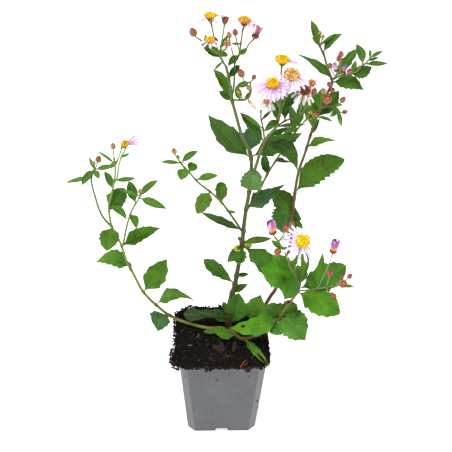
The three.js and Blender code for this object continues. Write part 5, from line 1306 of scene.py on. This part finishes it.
def add_furled(piece, row, seed):
    """A closed bloom's petals: two rings of overlapping strips, furled round a slim core"""
    draw = np.random.default_rng(seed)
    _, axis, foot = closed_seat(row)
    radius, length = row[7] / 2, row[8]
    first, second = square_to(axis)
    form, foot_colour, colours = FURLED_LOOKS[row[9]]
    low = linear(foot_colour)
    radii = FURLED_RADII[form]
    core = turned(foot, axis, FURLED_HEIGHTS * length * 0.8, FURLED_RADII["shut"] * radius * 0.6, 14)
    # Painted shade: the core inside the strips is 70% as bright as their first colour, so the gaps between
    # them look shaded
    piece.add(*core, linear(colours[0]) * 0.7)
    for layer, count, share in ((0, 11, 0.98), (1, 8, 0.74)):
        for k in range(count):
            t = np.linspace(0, 1, 12)
            angle = TAU * (k + 0.5 * layer) / count + 0.5 * t + draw.uniform(-0.14, 0.14)
            out = first * np.cos(angle)[:, None] + second * np.sin(angle)[:, None]
            sides = np.cross(axis, out)
            reach = np.interp(t, FURLED_HEIGHTS, radii) * radius * share * draw.uniform(0.9, 1.06)
            top = length * draw.uniform(0.76, 1.08)
            rib = foot + axis * (top * t)[:, None] + out * reach[:, None]
            width = 1.1 * TAU * radius * share / count
            half = 0.5 * width * np.interp(t, [0, 0.3, 0.75, 0.93, 1], [0.7, 1.0, 0.95, 0.6, 0.12])
            half = np.repeat(half[:, None], len(STRIP_SHARES), 1)
            lift = -(half * STRIP_SHARES) ** 2 / (2 * reach[:, None]) + 0.08 * width * STRIP_SHARES
            thick = np.full(lift.shape, PETAL_HALF)
            points, faces = blade(rib, sides, out, half, STRIP_SHARES, lift, thick)
            high = linear(colours[draw.integers(len(colours))])
            turn = draw.uniform(0.12, 0.4)
            tint = low + (high - low) * smoothstep(t, turn, turn + 0.25)[:, None]
            tint = tint * draw.uniform(0.85, 1.1)
            marks = strip_marks(t, STRIP_SHARES, draw.uniform(0, 9))
            tints = np.tile(np.repeat(np.minimum(tint, 1), len(STRIP_SHARES), 0), (2, 1))
            piece.add(points, faces, tints, marks)


def square_reach(angle):
    """How far a square with cut corners reaches at an angle, as a share of its half-width"""
    c, s = np.abs(np.cos(angle)), np.abs(np.sin(angle))
    return np.minimum(1 / np.maximum(c, s), 1.83 / (c + s))


def pot_inside(height):
    """The soil's half-width in the pot at a height"""
    return POT_BASE_HALF + (POT_TOP_HALF - POT_BASE_HALF) * height / POT_HEIGHT - SOIL_INSET


def rough(points, scale, octaves=4):
    """Fractal noise at an array of points"""
    return np.array([noise.fractal(Vector(p) * scale, 0.7, 2.1, octaves) for p in points])


def soil_height(x, y):
    """The height of the soil's top, without its fine grain"""
    angle = np.arctan2(y, x)
    share = np.hypot(x, y) / (square_reach(angle) * pot_inside(POT_HEIGHT))
    swell = 0.9 * (1 - np.clip(share, 0, 1) ** 2) + 1.6 * smoothstep(np.asarray(y), 10.0, 38.0)
    return SOIL_TOP + swell - 2.4 * smoothstep(share, 0.88, 1.08)


def soil_bulge(angle):
    """How far the soil hangs out over the rim at an angle: most at its front left corner, and least
    along the front, where the rim shows"""
    front = smoothstep(-np.sin(angle), 0.74, 0.84)
    return 1.0 - 0.8 * front + 4.2 * np.exp(-((angle - CLUMP_ANGLE) / 0.2) ** 2)


def add_soil_bed(piece):
    """The body of the soil: it fills the pot, swells over the rim and is rough on top"""
    angles = TAU * np.arange(SOIL_SIDES) / SOIL_SIDES
    reach = square_reach(angles)
    spill = pot_inside(POT_HEIGHT)
    rim = spill + SOIL_SPILL - 1.0 + soil_bulge(angles)
    lip = POT_HEIGHT + 0.3
    walls = [(pot_inside(SOIL_FLOOR), SOIL_FLOOR), (pot_inside(SOIL_MIDDLE), SOIL_MIDDLE),
             (spill, lip), (rim, lip)]
    rings = [np.stack([np.cos(angles) * reach * half, np.sin(angles) * reach * half,
                       np.full(SOIL_SIDES, height)], -1) for half, height in walls]
    for share in np.linspace(1.0, 0.02, SOIL_RINGS):
        half = rim * share
        x, y = np.cos(angles) * reach * half, np.sin(angles) * reach * half
        height = soil_height(x, y)
        points = np.stack([x, y, height], -1)
        grain = 1.9 * rough(points, 0.16) + 1.5 * rough(points + 50, 0.55)
        edge = smoothstep(share, 0.9, 1.0)
        points[:, 2] += grain * (1 - 0.5 * edge)
        points[:, 0] += edge * grain * np.cos(angles)
        points[:, 1] += edge * grain * np.sin(angles)
        rings.append(points)
    rings = np.array(rings)
    rings[len(walls):, :, 2] = np.maximum(rings[len(walls):, :, 2], POT_HEIGHT + 0.5)
    centres = rings.mean(1)
    _, faces = upright(np.zeros(len(rings)), np.ones(rings.shape[:2]))
    points = np.concatenate([rings.reshape(-1, 3), centres[:1], centres[-1:]])
    shade = np.clip(0.25 + 0.5 * rough(points, 0.35), 0, 1)
    piece.add(points, faces, between(SOIL_DARK, SOIL_LIGHT, shade * 0.4))


def lump_template():
    """A template: a ball of 42 points"""
    bm = bmesh.new()
    bmesh.ops.create_icosphere(bm, subdivisions=2, radius=1)
    points = np.array([v.co for v in bm.verts])
    faces = np.array([[v.index for v in face.verts] for face in bm.faces])
    bm.free()
    return points, [faces]


def soil_places(count, draw, reach_share=1.0):
    """Random places on the soil"""
    angle = draw.uniform(0, TAU, count)
    half = (pot_inside(POT_HEIGHT) + SOIL_SPILL) * square_reach(angle) * reach_share
    spread = np.sqrt(draw.uniform(0, 1, count)) * half
    x, y = np.cos(angle) * spread, np.sin(angle) * spread
    return np.stack([x, y, soil_height(x, y)], -1)


def rim_places(low_angle, high_angle, count, draw, proud, drop):
    """Random places just over the rim, between two angles round the pot"""
    angle = draw.uniform(low_angle, high_angle, count)
    reach = square_reach(angle) * (RIM_HALF + draw.uniform(*proud, count))
    height = POT_HEIGHT + draw.uniform(*drop, count)
    return np.stack([np.cos(angle) * reach, np.sin(angle) * reach, height], -1)


# Crumbs on the rim and over it: the angles round the pot that they lie between, their count, how far
# out and how high they lie, and the biggest one's size
RIM_CRUMBS = (
  (0, TAU, 260, (-1.5, 0.6), (0.2, 1.6), 0.9),
  (LEFT_ANGLE - 0.75, LEFT_ANGLE + 0.75, 170, (-0.5, 3.0), (-0.8, 3.0), 1.2),
  (LEFT_ANGLE + 0.42, LEFT_ANGLE + 0.86, 150, (1.0, 5.6), (-0.6, 4.4), 1.3),
  (FRONT_ANGLE - 0.74, FRONT_ANGLE + 0.74, 500, (-1.0, 1.1), (-1.8, 1.1), 0.95),
  (FRONT_ANGLE - 0.36, FRONT_ANGLE - 0.24, 50, (0.3, 0.9), (-4.6, -0.4), 0.7),
  (FRONT_ANGLE + 0.41, FRONT_ANGLE + 0.52, 46, (0.3, 0.9), (-5.0, -0.4), 0.65),
  (1.0, 2.6, 150, (-5.0, -0.5), (3.2, 5.6), 1.5),
)


def add_crumbs(piece, draw):
    """Loose crumbs of peat over the soil, on the rim and over its left and front edges"""
    places = [soil_places(SOIL_CRUMBS, draw)]
    sizes = [0.45 + 1.55 * draw.beta(1.3, 3.4, SOIL_CRUMBS)]
    for low, high, count, proud, drop, biggest in RIM_CRUMBS:
        places.append(rim_places(low, high, count, draw, proud, drop))
        sizes.append(draw.uniform(0.35, biggest, count))
    places.append(np.array([wall_point(*spot) for spot in STRAY_CRUMBS]))
    sizes.append(draw.uniform(0.45, 0.8, len(STRAY_CRUMBS)))
    places, sizes = np.vstack(places), np.concatenate(sizes)
    template = lump_template()
    count = len(places)
    frames = frames_about(draw.normal(size=(count, 3)), draw)
    sizes = sizes[:, None] * draw.uniform(0.55, 1.15, (count, 3))
    points = template[0][None] * draw.uniform(0.72, 1.2, (count, len(template[0]), 1))
    moved = np.einsum("nij,njk->nik", points * sizes[:, None], frames) + places[:, None]
    _, faces = copies(template, places, frames, sizes[:, 0])
    tint = between(SOIL_DARK, SOIL_LIGHT, draw.beta(1.2, 3.0, count) * 0.9)
    tint = np.where((draw.uniform(size=count) < 0.09)[:, None], linear(SOIL_FLECK), tint)
    tint = tint * draw.uniform((0.9, 0.92, 0.86), (1.15, 1.05, 1.1), (count, 3))
    piece.add(moved, faces, np.repeat(tint, len(template[0]), 0))


def add_fibres(piece, draw):
    """Root and peat fibres that curl out of the soil, some of them over the left edge"""
    inside = soil_places(SOIL_FIBRES, draw)
    over = rim_places(LEFT_ANGLE - 0.7, LEFT_ANGLE + 0.72, 46, draw, (-0.5, 1.5), (-0.4, 2.6))
    front = rim_places(FRONT_ANGLE - 0.6, FRONT_ANGLE + 0.5, 16, draw, (-1.0, 0.4), (-0.6, 1.0))
    for k, root in enumerate(np.vstack([inside, over, front])):
        outside = k >= len(inside)
        heading = draw.normal(size=3) * (1, 1, 0.4)
        if outside:
            heading = unit(root * (1, 1, 0)) * 1.2 + draw.normal(size=3) * 0.6
        heading = unit(heading)
        line = [root]
        for _ in range(7):
            heading = unit(heading + draw.normal(size=3) * 0.45 - UP * (0.35 if outside else 0.12))
            line.append(line[-1] + heading * draw.uniform(0.5, 1.1))
        line = np.array(line)
        if not outside:
            line[:, 2] = np.maximum(line[:, 2], soil_height(line[:, 0], line[:, 1]) - 0.2)
        radii = np.linspace(draw.uniform(0.13, 0.26), 0.05, len(line))
        points, faces = tube(line, radii, FIBRE_SIDES)
        piece.add(points, faces, between(SOIL_DARK, FIBRE_COLOUR, draw.beta(1.2, 2.4)))


def add_shred(piece, middle, heading, length, width, colour, draw):
    """A flat shred of bark or straw that lies on the soil"""
    t = np.linspace(-0.5, 0.5, 9)
    side = unit(np.cross(UP, heading))
    normal = np.cross(heading, side)
    bow = min(0.5, 0.4 * width)
    sway = bow * np.sin(t * 4 + draw.uniform(0, 6))
    rib = middle + heading * (length * t)[:, None] + side * sway[:, None]
    half = 0.5 * width * np.interp(np.abs(t), [0, 0.35, 0.5], [1.0, 0.85, 0.3])
    half = half * draw.uniform(0.8, 1.15, len(t))
    half = np.repeat(half[:, None], len(STRIP_SHARES), 1)
    lift = draw.uniform(-0.12, 0.12, half.shape) * width * 0.5
    thick = np.full(half.shape, 0.16 + 0.07 * width)
    points, faces = blade(rib, side, normal, half, STRIP_SHARES, lift, thick)
    tint = linear(colour) * draw.uniform(0.8, 1.2, (2 * half.size, 1))
    piece.add(points, faces, tint)


def add_shreds(piece, draw):
    """Shreds of bark all over the soil, and the few that stand out at its front"""
    for spot in soil_places(SOIL_SHREDS, draw, 0.94):
        angle = draw.uniform(0, TAU)
        heading = unit(np.array([math.cos(angle), math.sin(angle), draw.uniform(-0.15, 0.25)]))
        length = draw.uniform(2.5, 8.0)
        colour = np.array(SOIL_LIGHT) * draw.uniform(0.5, 1.15)
        middle = spot + UP * draw.uniform(0.3, 1.0)
        add_shred(piece, middle, heading, length, length * draw.uniform(0.2, 0.45), colour, draw)
    for x, y, end_x, end_y, width, colour in SHREDS:
        start, end = soil_point(x, y), soil_point(end_x, end_y)
        middle = (start + end) / 2 + UP * 0.9
        add_shred(piece, middle, unit(end - start), np.linalg.norm(end - start), width, colour, draw)


def wall_point(x, y):
    """The point of the pot's front wall at a place in the view"""
    ray = view_ray(x, y)
    slope = (POT_TOP_HALF - POT_BASE_HALF) / POT_HEIGHT
    return EYE - ray * (POT_BASE_HALF + EYE[1] + slope * EYE[2]) / (ray[1] + slope * ray[2])


def soil_point(x, y):
    """The point of the soil's top at a place in the view"""
    ray = view_ray(x, y)
    point = EYE + ray * (SOIL_TOP - EYE[2]) / ray[2]
    point[2] = soil_height(point[0], point[1])
    return point


# In the view: the shreds that stand out on the soil, each from end to end with its width in
# millimetres and its colour, and the places of the few crumbs on the pot's front wall
SHREDS = [
  (213, 347, 225, 352, 6.5, (46, 36, 30)),
  (219, 339, 222, 351, 5.0, (42, 33, 27)),
  (236, 343, 233, 353, 3.6, (46, 37, 29)),
  (240.2, 366.4, 245.4, 360.4, 0.42, (196, 108, 50)),
  (243.8, 364.8, 247.4, 361.8, 0.36, (176, 96, 48)),
  (188, 347, 192, 346, 1.8, (128, 88, 56)),
  (198, 361, 200.4, 359.4, 1.0, (88, 54, 42)),
  (197, 339, 199, 335, 1.6, (92, 72, 42)),
  (223, 355.6, 235, 358, 0.8, (62, 60, 34)),
  (225, 358.6, 229, 357, 1.2, (54, 54, 30)),
  (205, 333, 214, 336, 3.0, (60, 44, 32)),
]
STRAY_CRUMBS = [
  (185, 376), (217.2, 379.2), (216.6, 380.2), (217.4, 381), (257, 401), (258, 407), (189, 416),
  (248.5, 376.6), (229.5, 375),
]


def pot_mesh():
    """The pot's mesh with its flat faces whole and its edges rounded"""
    bm = bmesh.new()
    bm.from_mesh(bpy.data.objects["pot"].data)
    bmesh.ops.remove_doubles(bm, verts=bm.verts, dist=1e-6)
    bmesh.ops.dissolve_limit(bm, angle_limit=math.radians(1.0), verts=bm.verts, edges=bm.edges)
    sharp = [e for e in bm.edges if len(e.link_faces) == 2 and e.calc_face_angle() > math.radians(20)]
    bmesh.ops.bevel(bm, geom=sharp, offset=0.5 * MM, segments=3, profile=0.5, affect="EDGES",
                    clamp_overlap=True)
    bmesh.ops.triangulate(bm, faces=[f for f in bm.faces if len(f.verts) > 4])
    mesh = bpy.data.meshes.new("pot_body")
    bm.to_mesh(mesh)
    bm.free()
    mesh.shade_smooth()
    mesh.set_sharp_from_angle(angle=math.radians(25))
    return mesh


class Shader:
    """A material and the nodes that feed its surface"""

    def __init__(self, name, roughness, specular=0.4):
        self.material = bpy.data.materials.new(name)
        self.material.use_nodes = True
        self.tree = self.material.node_tree
        self.surface = self.tree.nodes["Principled BSDF"].inputs
        self.surface["Roughness"].default_value = roughness
        self.surface["Specular IOR Level"].default_value = specular

    def node(self, kind, inputs, output=0, **settings):
        node = self.tree.nodes.new(kind)
        for key, value in settings.items():
            setattr(node, key, value)
        for key, value in inputs.items():
            if isinstance(value, bpy.types.NodeSocket):
                self.tree.links.new(value, node.inputs[key])
            else:
                node.inputs[key].default_value = value
        return node.outputs[output]

    def maths(self, operation, a, b=0.0):
        return self.node("ShaderNodeMath", {0: a, 1: b}, operation=operation)

    def attribute(self, name, output="Color"):
        return self.node("ShaderNodeAttribute", {}, output, attribute_name=name)

    def split(self, vector):
        """The three parts of a vector"""
        node = self.tree.nodes.new("ShaderNodeSeparateXYZ")
        self.tree.links.new(vector, node.inputs[0])
        return node.outputs

    def place(self):
        return self.node("ShaderNodeTexCoord", {}, "Object")

    def noise(self, scale, detail=4.0, vector=None, roughness=0.55):
        inputs = {"Scale": scale, "Detail": detail, "Roughness": roughness,
                  "Vector": vector or self.place()}
        return self.node("ShaderNodeTexNoise", inputs, "Fac")

    def span(self, value, low, high, to_low, to_high, smooth=False):
        inputs = {"Value": value, "From Min": low, "From Max": high, "To Min": to_low, "To Max": to_high}
        kind = "SMOOTHSTEP" if smooth else "LINEAR"
        return self.node("ShaderNodeMapRange", inputs, interpolation_type=kind)

    def mix(self, share, a, b):
        return self.node("ShaderNodeMix", {0: share, 6: a, 7: b}, 2, data_type="RGBA")

    def scaled(self, colour, factor):
        return self.node("ShaderNodeVectorMath", {0: colour, "Scale": factor}, operation="SCALE")

    def colour(self, socket):
        self.tree.links.new(socket, self.surface["Base Color"])

    def rough(self, socket):
        self.tree.links.new(socket, self.surface["Roughness"])

    def bump(self, height, distance, strength=1.0):
        """Relief of a height map, its depth in millimetres"""
        normal = self.node("ShaderNodeBump", {
            "Height": height, "Distance": distance * MM, "Strength": strength}, "Normal")
        self.tree.links.new(normal, self.surface["Normal"])


def rgba(colour):
    return (*linear(colour), 1.0)


def leaf_material():
    """Leaves: paler veins in grooves, a mottled green, and a grey-green underside"""
    s = Shader("leaf", 0.52, 0.18)
    tint, upper = s.attribute("tint"), s.attribute("tint", "Alpha")
    phase, across, t = s.split(s.attribute("mark", "Vector"))
    from_rib = s.maths("ABSOLUTE", across)
    off_vein = s.maths("ABSOLUTE", s.maths("SUBTRACT", s.maths("FRACT", phase), 0.5))
    vein = s.span(off_vein, 0.43, 0.5, 0.0, 1.0, True)
    vein = s.maths("MULTIPLY", vein, s.span(t, 0.06, 0.2, 0.0, 0.75))
    rib = s.span(from_rib, 0.18, 0.55, 1.0, 0.0, True)
    lines = s.maths("MAXIMUM", vein, rib)
    net = s.noise(1400.0, 2.0)
    blotch = s.noise(90.0, 4.0)
    shade = s.maths("MULTIPLY", s.span(blotch, 0.3, 0.7, 0.66, 1.3), s.span(net, 0.3, 0.7, 0.86, 1.14))
    green = s.scaled(tint, shade)
    pale = s.mix(0.4, s.scaled(tint, 1.6), rgba((142, 172, 70)))
    green = s.mix(s.maths("MULTIPLY", lines, 0.5), green, pale)
    below = s.mix(0.35, s.scaled(green, 1.1), rgba((118, 140, 96)))
    s.colour(s.mix(upper, below, green))
    s.rough(s.span(blotch, 0.3, 0.7, 0.46, 0.62))
    height = s.maths("SUBTRACT", s.maths("MULTIPLY", net, 0.5), lines)
    s.bump(height, 0.3, 1.0)
    return s.material


def stalk_material():
    """Stalks: fine streaks along them, and freckles"""
    s = Shader("stalk", 0.6, 0.2)
    along, c, d = s.split(s.attribute("mark", "Vector"))
    lengthwise = s.node("ShaderNodeCombineXYZ", {
        0: s.maths("MULTIPLY", along, 0.06), 1: s.maths("MULTIPLY", c, 3.0),
        2: s.maths("MULTIPLY", d, 3.0)})
    streak = s.noise(1.6, 4.0, lengthwise)
    freckle = s.noise(900.0, 3.0)
    streaks, freckles = s.span(streak, 0.3, 0.7, 0.78, 1.22), s.span(freckle, 0.35, 0.65, 0.9, 1.08)
    s.colour(s.scaled(s.attribute("tint"), s.maths("MULTIPLY", streaks, freckles)))
    s.bump(streak, 0.2, 0.8)
    return s.material


def petal_material():
    """Petals: lengthwise streaks in two grooves, a satin sheen"""
    s = Shader("petal", 0.55, 0.3)
    t, across, own = s.split(s.attribute("mark", "Vector"))
    lengthwise = s.node("ShaderNodeCombineXYZ", {
        0: s.maths("MULTIPLY", across, 4.0), 1: s.maths("MULTIPLY", t, 0.5), 2: own})
    streak = s.noise(2.2, 4.0, lengthwise)
    s.colour(s.scaled(s.attribute("tint"), s.span(streak, 0.3, 0.7, 0.88, 1.06)))
    s.surface["Sheen Weight"].default_value = 0.2
    s.bump(streak, 0.1, 0.7)
    return s.material


def grainy_material(name, roughness, specular, scale, contrast, depth):
    """A tinted surface with an even grain"""
    s = Shader(name, roughness, specular)
    grain = s.noise(scale, 5.0, None, 0.65)
    s.colour(s.scaled(s.attribute("tint"), s.span(grain, 0.3, 0.7, 1 - contrast, 1 + contrast)))
    s.bump(grain, depth, 0.9)
    return s.material


def pot_material():
    """The pot: blue-grey moulded plastic, mottled, scuffed, and dusty under the rim, with a painted
    highlight on the rim band and painted shade at its step
    """
    s = Shader("pot_plastic", 0.42, 0.4)
    cloud = s.noise(34.0, 5.0)
    fine = s.noise(420.0, 6.0, None, 0.7)
    height = s.split(s.place())[2]
    grey = s.mix(s.span(cloud, 0.32, 0.68, 0.0, 1.0), rgba((70, 72, 77)), rgba((84, 86, 92)))
    grey = s.scaled(grey, s.span(fine, 0.3, 0.7, 0.95, 1.05))
    stretched = s.node("ShaderNodeMapping", {"Vector": s.place(), "Scale": (60.0, 60.0, 9.0)})
    scuff = s.span(s.noise(6.0, 6.0, stretched, 0.7), 0.58, 0.72, 0.0, 1.0)
    grey = s.mix(s.maths("MULTIPLY", scuff, 0.35), grey, rgba((124, 127, 132)))
    dust = s.span(s.noise(150.0, 5.0, None, 0.75), 0.56, 0.7, 0.0, 1.0)
    upper = s.span(height, 0.06, 0.093, 0.05, 0.75)
    # Painted highlight: the rim band above its step is mixed a fifth of the way to a pale beige-grey
    grey = s.mix(s.span(height, 0.0872, 0.0884, 0.0, 0.2), grey, rgba((170, 168, 164)))
    # Painted shade: the pot is 7% darker from the rim band's step upwards, which leaves a thin dark line at
    # the step under the painted highlight
    grey = s.scaled(grey, s.span(height, 0.0866, 0.0874, 1.0, 0.93))
    grey = s.mix(s.maths("MULTIPLY", dust, upper), grey, rgba((64, 54, 44)))
    s.colour(grey)
    s.rough(s.span(cloud, 0.3, 0.7, 0.36, 0.52))
    s.bump(fine, 0.12, 0.6)
    return s.material


def floor_material():
    """The floor: matt and pale, with the faintest grain"""
    s = Shader("floor_paper", 0.9, 0.1)
    s.surface["Emission Color"].default_value = (1.0, 1.0, 1.0, 1.0)
    s.surface["Emission Strength"].default_value = FLOOR_GLOW
    grain = s.noise(14.0, 3.0)
    s.colour(s.mix(s.span(grain, 0.3, 0.7, 0.0, 1.0), (0.93, 0.93, 0.93, 1), (0.95, 0.95, 0.95, 1)))
    return s.material


def build_plant():
    """Every leafy stem and bloom, in the pieces that stand for their nodes"""
    leaf, stalk = leaf_material(), stalk_material()
    bud = grainy_material("bud", 0.55, 0.3, 1500.0, 0.14, 0.12)
    hair = grainy_material("hair", 0.6, 0.2, 900.0, 0.1, 0.02)
    petal = petal_material()
    floret = grainy_material("floret", 0.5, 0.35, 1800.0, 0.12, 0.06)
    for stem in sorted({branch["stem"] for branch in branches.values()}):
        stalks, leaves, buds, hairs = Piece(), Piece(), Piece(), Piece()
        for rows, column, add, piece, seed in (
                (LEAVES, 0, add_leaf, leaves, LEAF_SEED), (BUDS, 0, add_bud, buds, BUD_SEED),
                (BLOOMS, 1, add_cup, buds, CUP_SEED),
                (CLOSED_BLOOMS, 1, add_closed_cup, buds, CLOSED_SEED)):
            for k, row in enumerate(rows):
                if branches[row[column]]["stem"] == stem:
                    add(piece, row, seed + k)
        draw = np.random.default_rng(HAIR_SEED)
        for branch in branches.values():
            if branch["stem"] == stem:
                add_stalk(stalks, branch)
                add_hairs(hairs, branch, draw)
        for part, piece, material in (("stalks", stalks, stalk), ("leaves", leaves, leaf),
                                      ("buds", buds, bud), ("hairs", hairs, hair)):
            piece.build(f"{stem}_{part}", material, [stem], "stem")
    for k, row in enumerate(BLOOMS):
        rays, florets = Piece(), Piece()
        add_rays(rays, row, RAY_SEED + k)
        add_disc(florets, row, DISC_SEED + k)
        worn = row[-1] in WORN_LOOKS
        rays.build(f"rays_{row[0]}", petal, [f"petals_{row[0]}"], "spent_petals" if worn else "petals")
        slot = "spent_disc" if worn or row[-1] == "faded" else "disc"
        florets.build(f"florets_{row[0]}", floret, [f"disc_{row[0]}"], slot)
    for k, row in enumerate(CLOSED_BLOOMS):
        furled = Piece()
        add_furled(furled, row, FURLED_SEED + k)
        furled.build(f"furled_{row[0]}", petal, [f"petals_{row[0]}"], "closed_petals")


def build_soil():
    """The soil's bed, its crumbs, and its shreds and fibres"""
    bed, crumbs, litter = Piece(), Piece(), Piece()
    add_soil_bed(bed)
    add_crumbs(crumbs, np.random.default_rng(SOIL_SEED))
    draw = np.random.default_rng(SOIL_SEED + 1)
    add_fibres(litter, draw)
    add_shreds(litter, draw)
    peat = grainy_material("peat", 0.9, 0.15, 650.0, 0.45, 0.5)
    bark = grainy_material("bark", 0.8, 0.2, 700.0, 0.3, 0.3)
    bed.build("soil_bed", peat, ["soil"], "soil")
    crumbs.build("soil_crumbs", peat, ["soil"], "soil")
    litter.build("soil_litter", bark, ["soil"], "soil")


def add_floor():
    """A wide pale floor under the pot"""
    mesh = bpy.data.meshes.new("floor")
    corners = [(x * FLOOR_HALF, y * FLOOR_HALF, 0) for x, y in ((-1, -1), (1, -1), (1, 1), (-1, 1))]
    mesh.from_pydata(corners, [], [(0, 1, 2, 3)])
    mesh.materials.append(floor_material())
    floor = bpy.data.objects.new("floor", mesh)
    bpy.context.scene.collection.objects.link(floor)


def add_light(name, spot, size, power):
    """A soft square lamp"""
    light = bpy.data.lights.new(name, "AREA")
    light.size = size
    light.energy = power
    lamp = bpy.data.objects.new(name, light)
    lamp.location = spot
    lamp.rotation_euler = (Vector(LIGHT_AIM) - Vector(spot)).to_track_quat("-Z", "Y").to_euler()
    bpy.context.scene.collection.objects.link(lamp)


def add_camera():
    """The camera at the front view's place and angle"""
    camera = bpy.data.cameras.new("front_view")
    camera.sensor_width = SENSOR
    camera.lens = VIEW_FOCAL / VIEW_SIZE * SENSOR
    camera.clip_start = 0.05
    eye = bpy.data.objects.new("front_view", camera)
    turn = Matrix([ACROSS, UPWARD, -FORWARD]).transposed().to_4x4()
    eye.matrix_world = Matrix.Translation(Vector(EYE * MM)) @ turn
    bpy.context.scene.collection.objects.link(eye)
    bpy.context.scene.camera = eye


def set_stage():
    """The floor, the soft light and the camera"""
    add_floor()
    world = bpy.data.worlds.new("studio")
    world.use_nodes = True
    sky = world.node_tree.nodes["Background"].inputs
    sky["Color"].default_value = (1.0, 1.0, 1.0, 1.0)
    sky["Strength"].default_value = SKY_STRENGTH
    bpy.context.scene.world = world
    add_light("top", (-0.25, -0.55, 1.9), 0.9, TOP_POWER)
    add_light("left_side", (-1.2, -0.15, 0.4), 0.6, SIDE_POWER)
    add_light("right_side", (1.2, -0.15, 0.4), 0.6, SIDE_POWER)
    bpy.context.scene.view_settings.view_transform = "Standard"
    add_camera()


branches = grown_branches()
set_stage()
build_plant()
build_soil()
stand_for("pot_body", pot_mesh(), pot_material(), ["pot"])
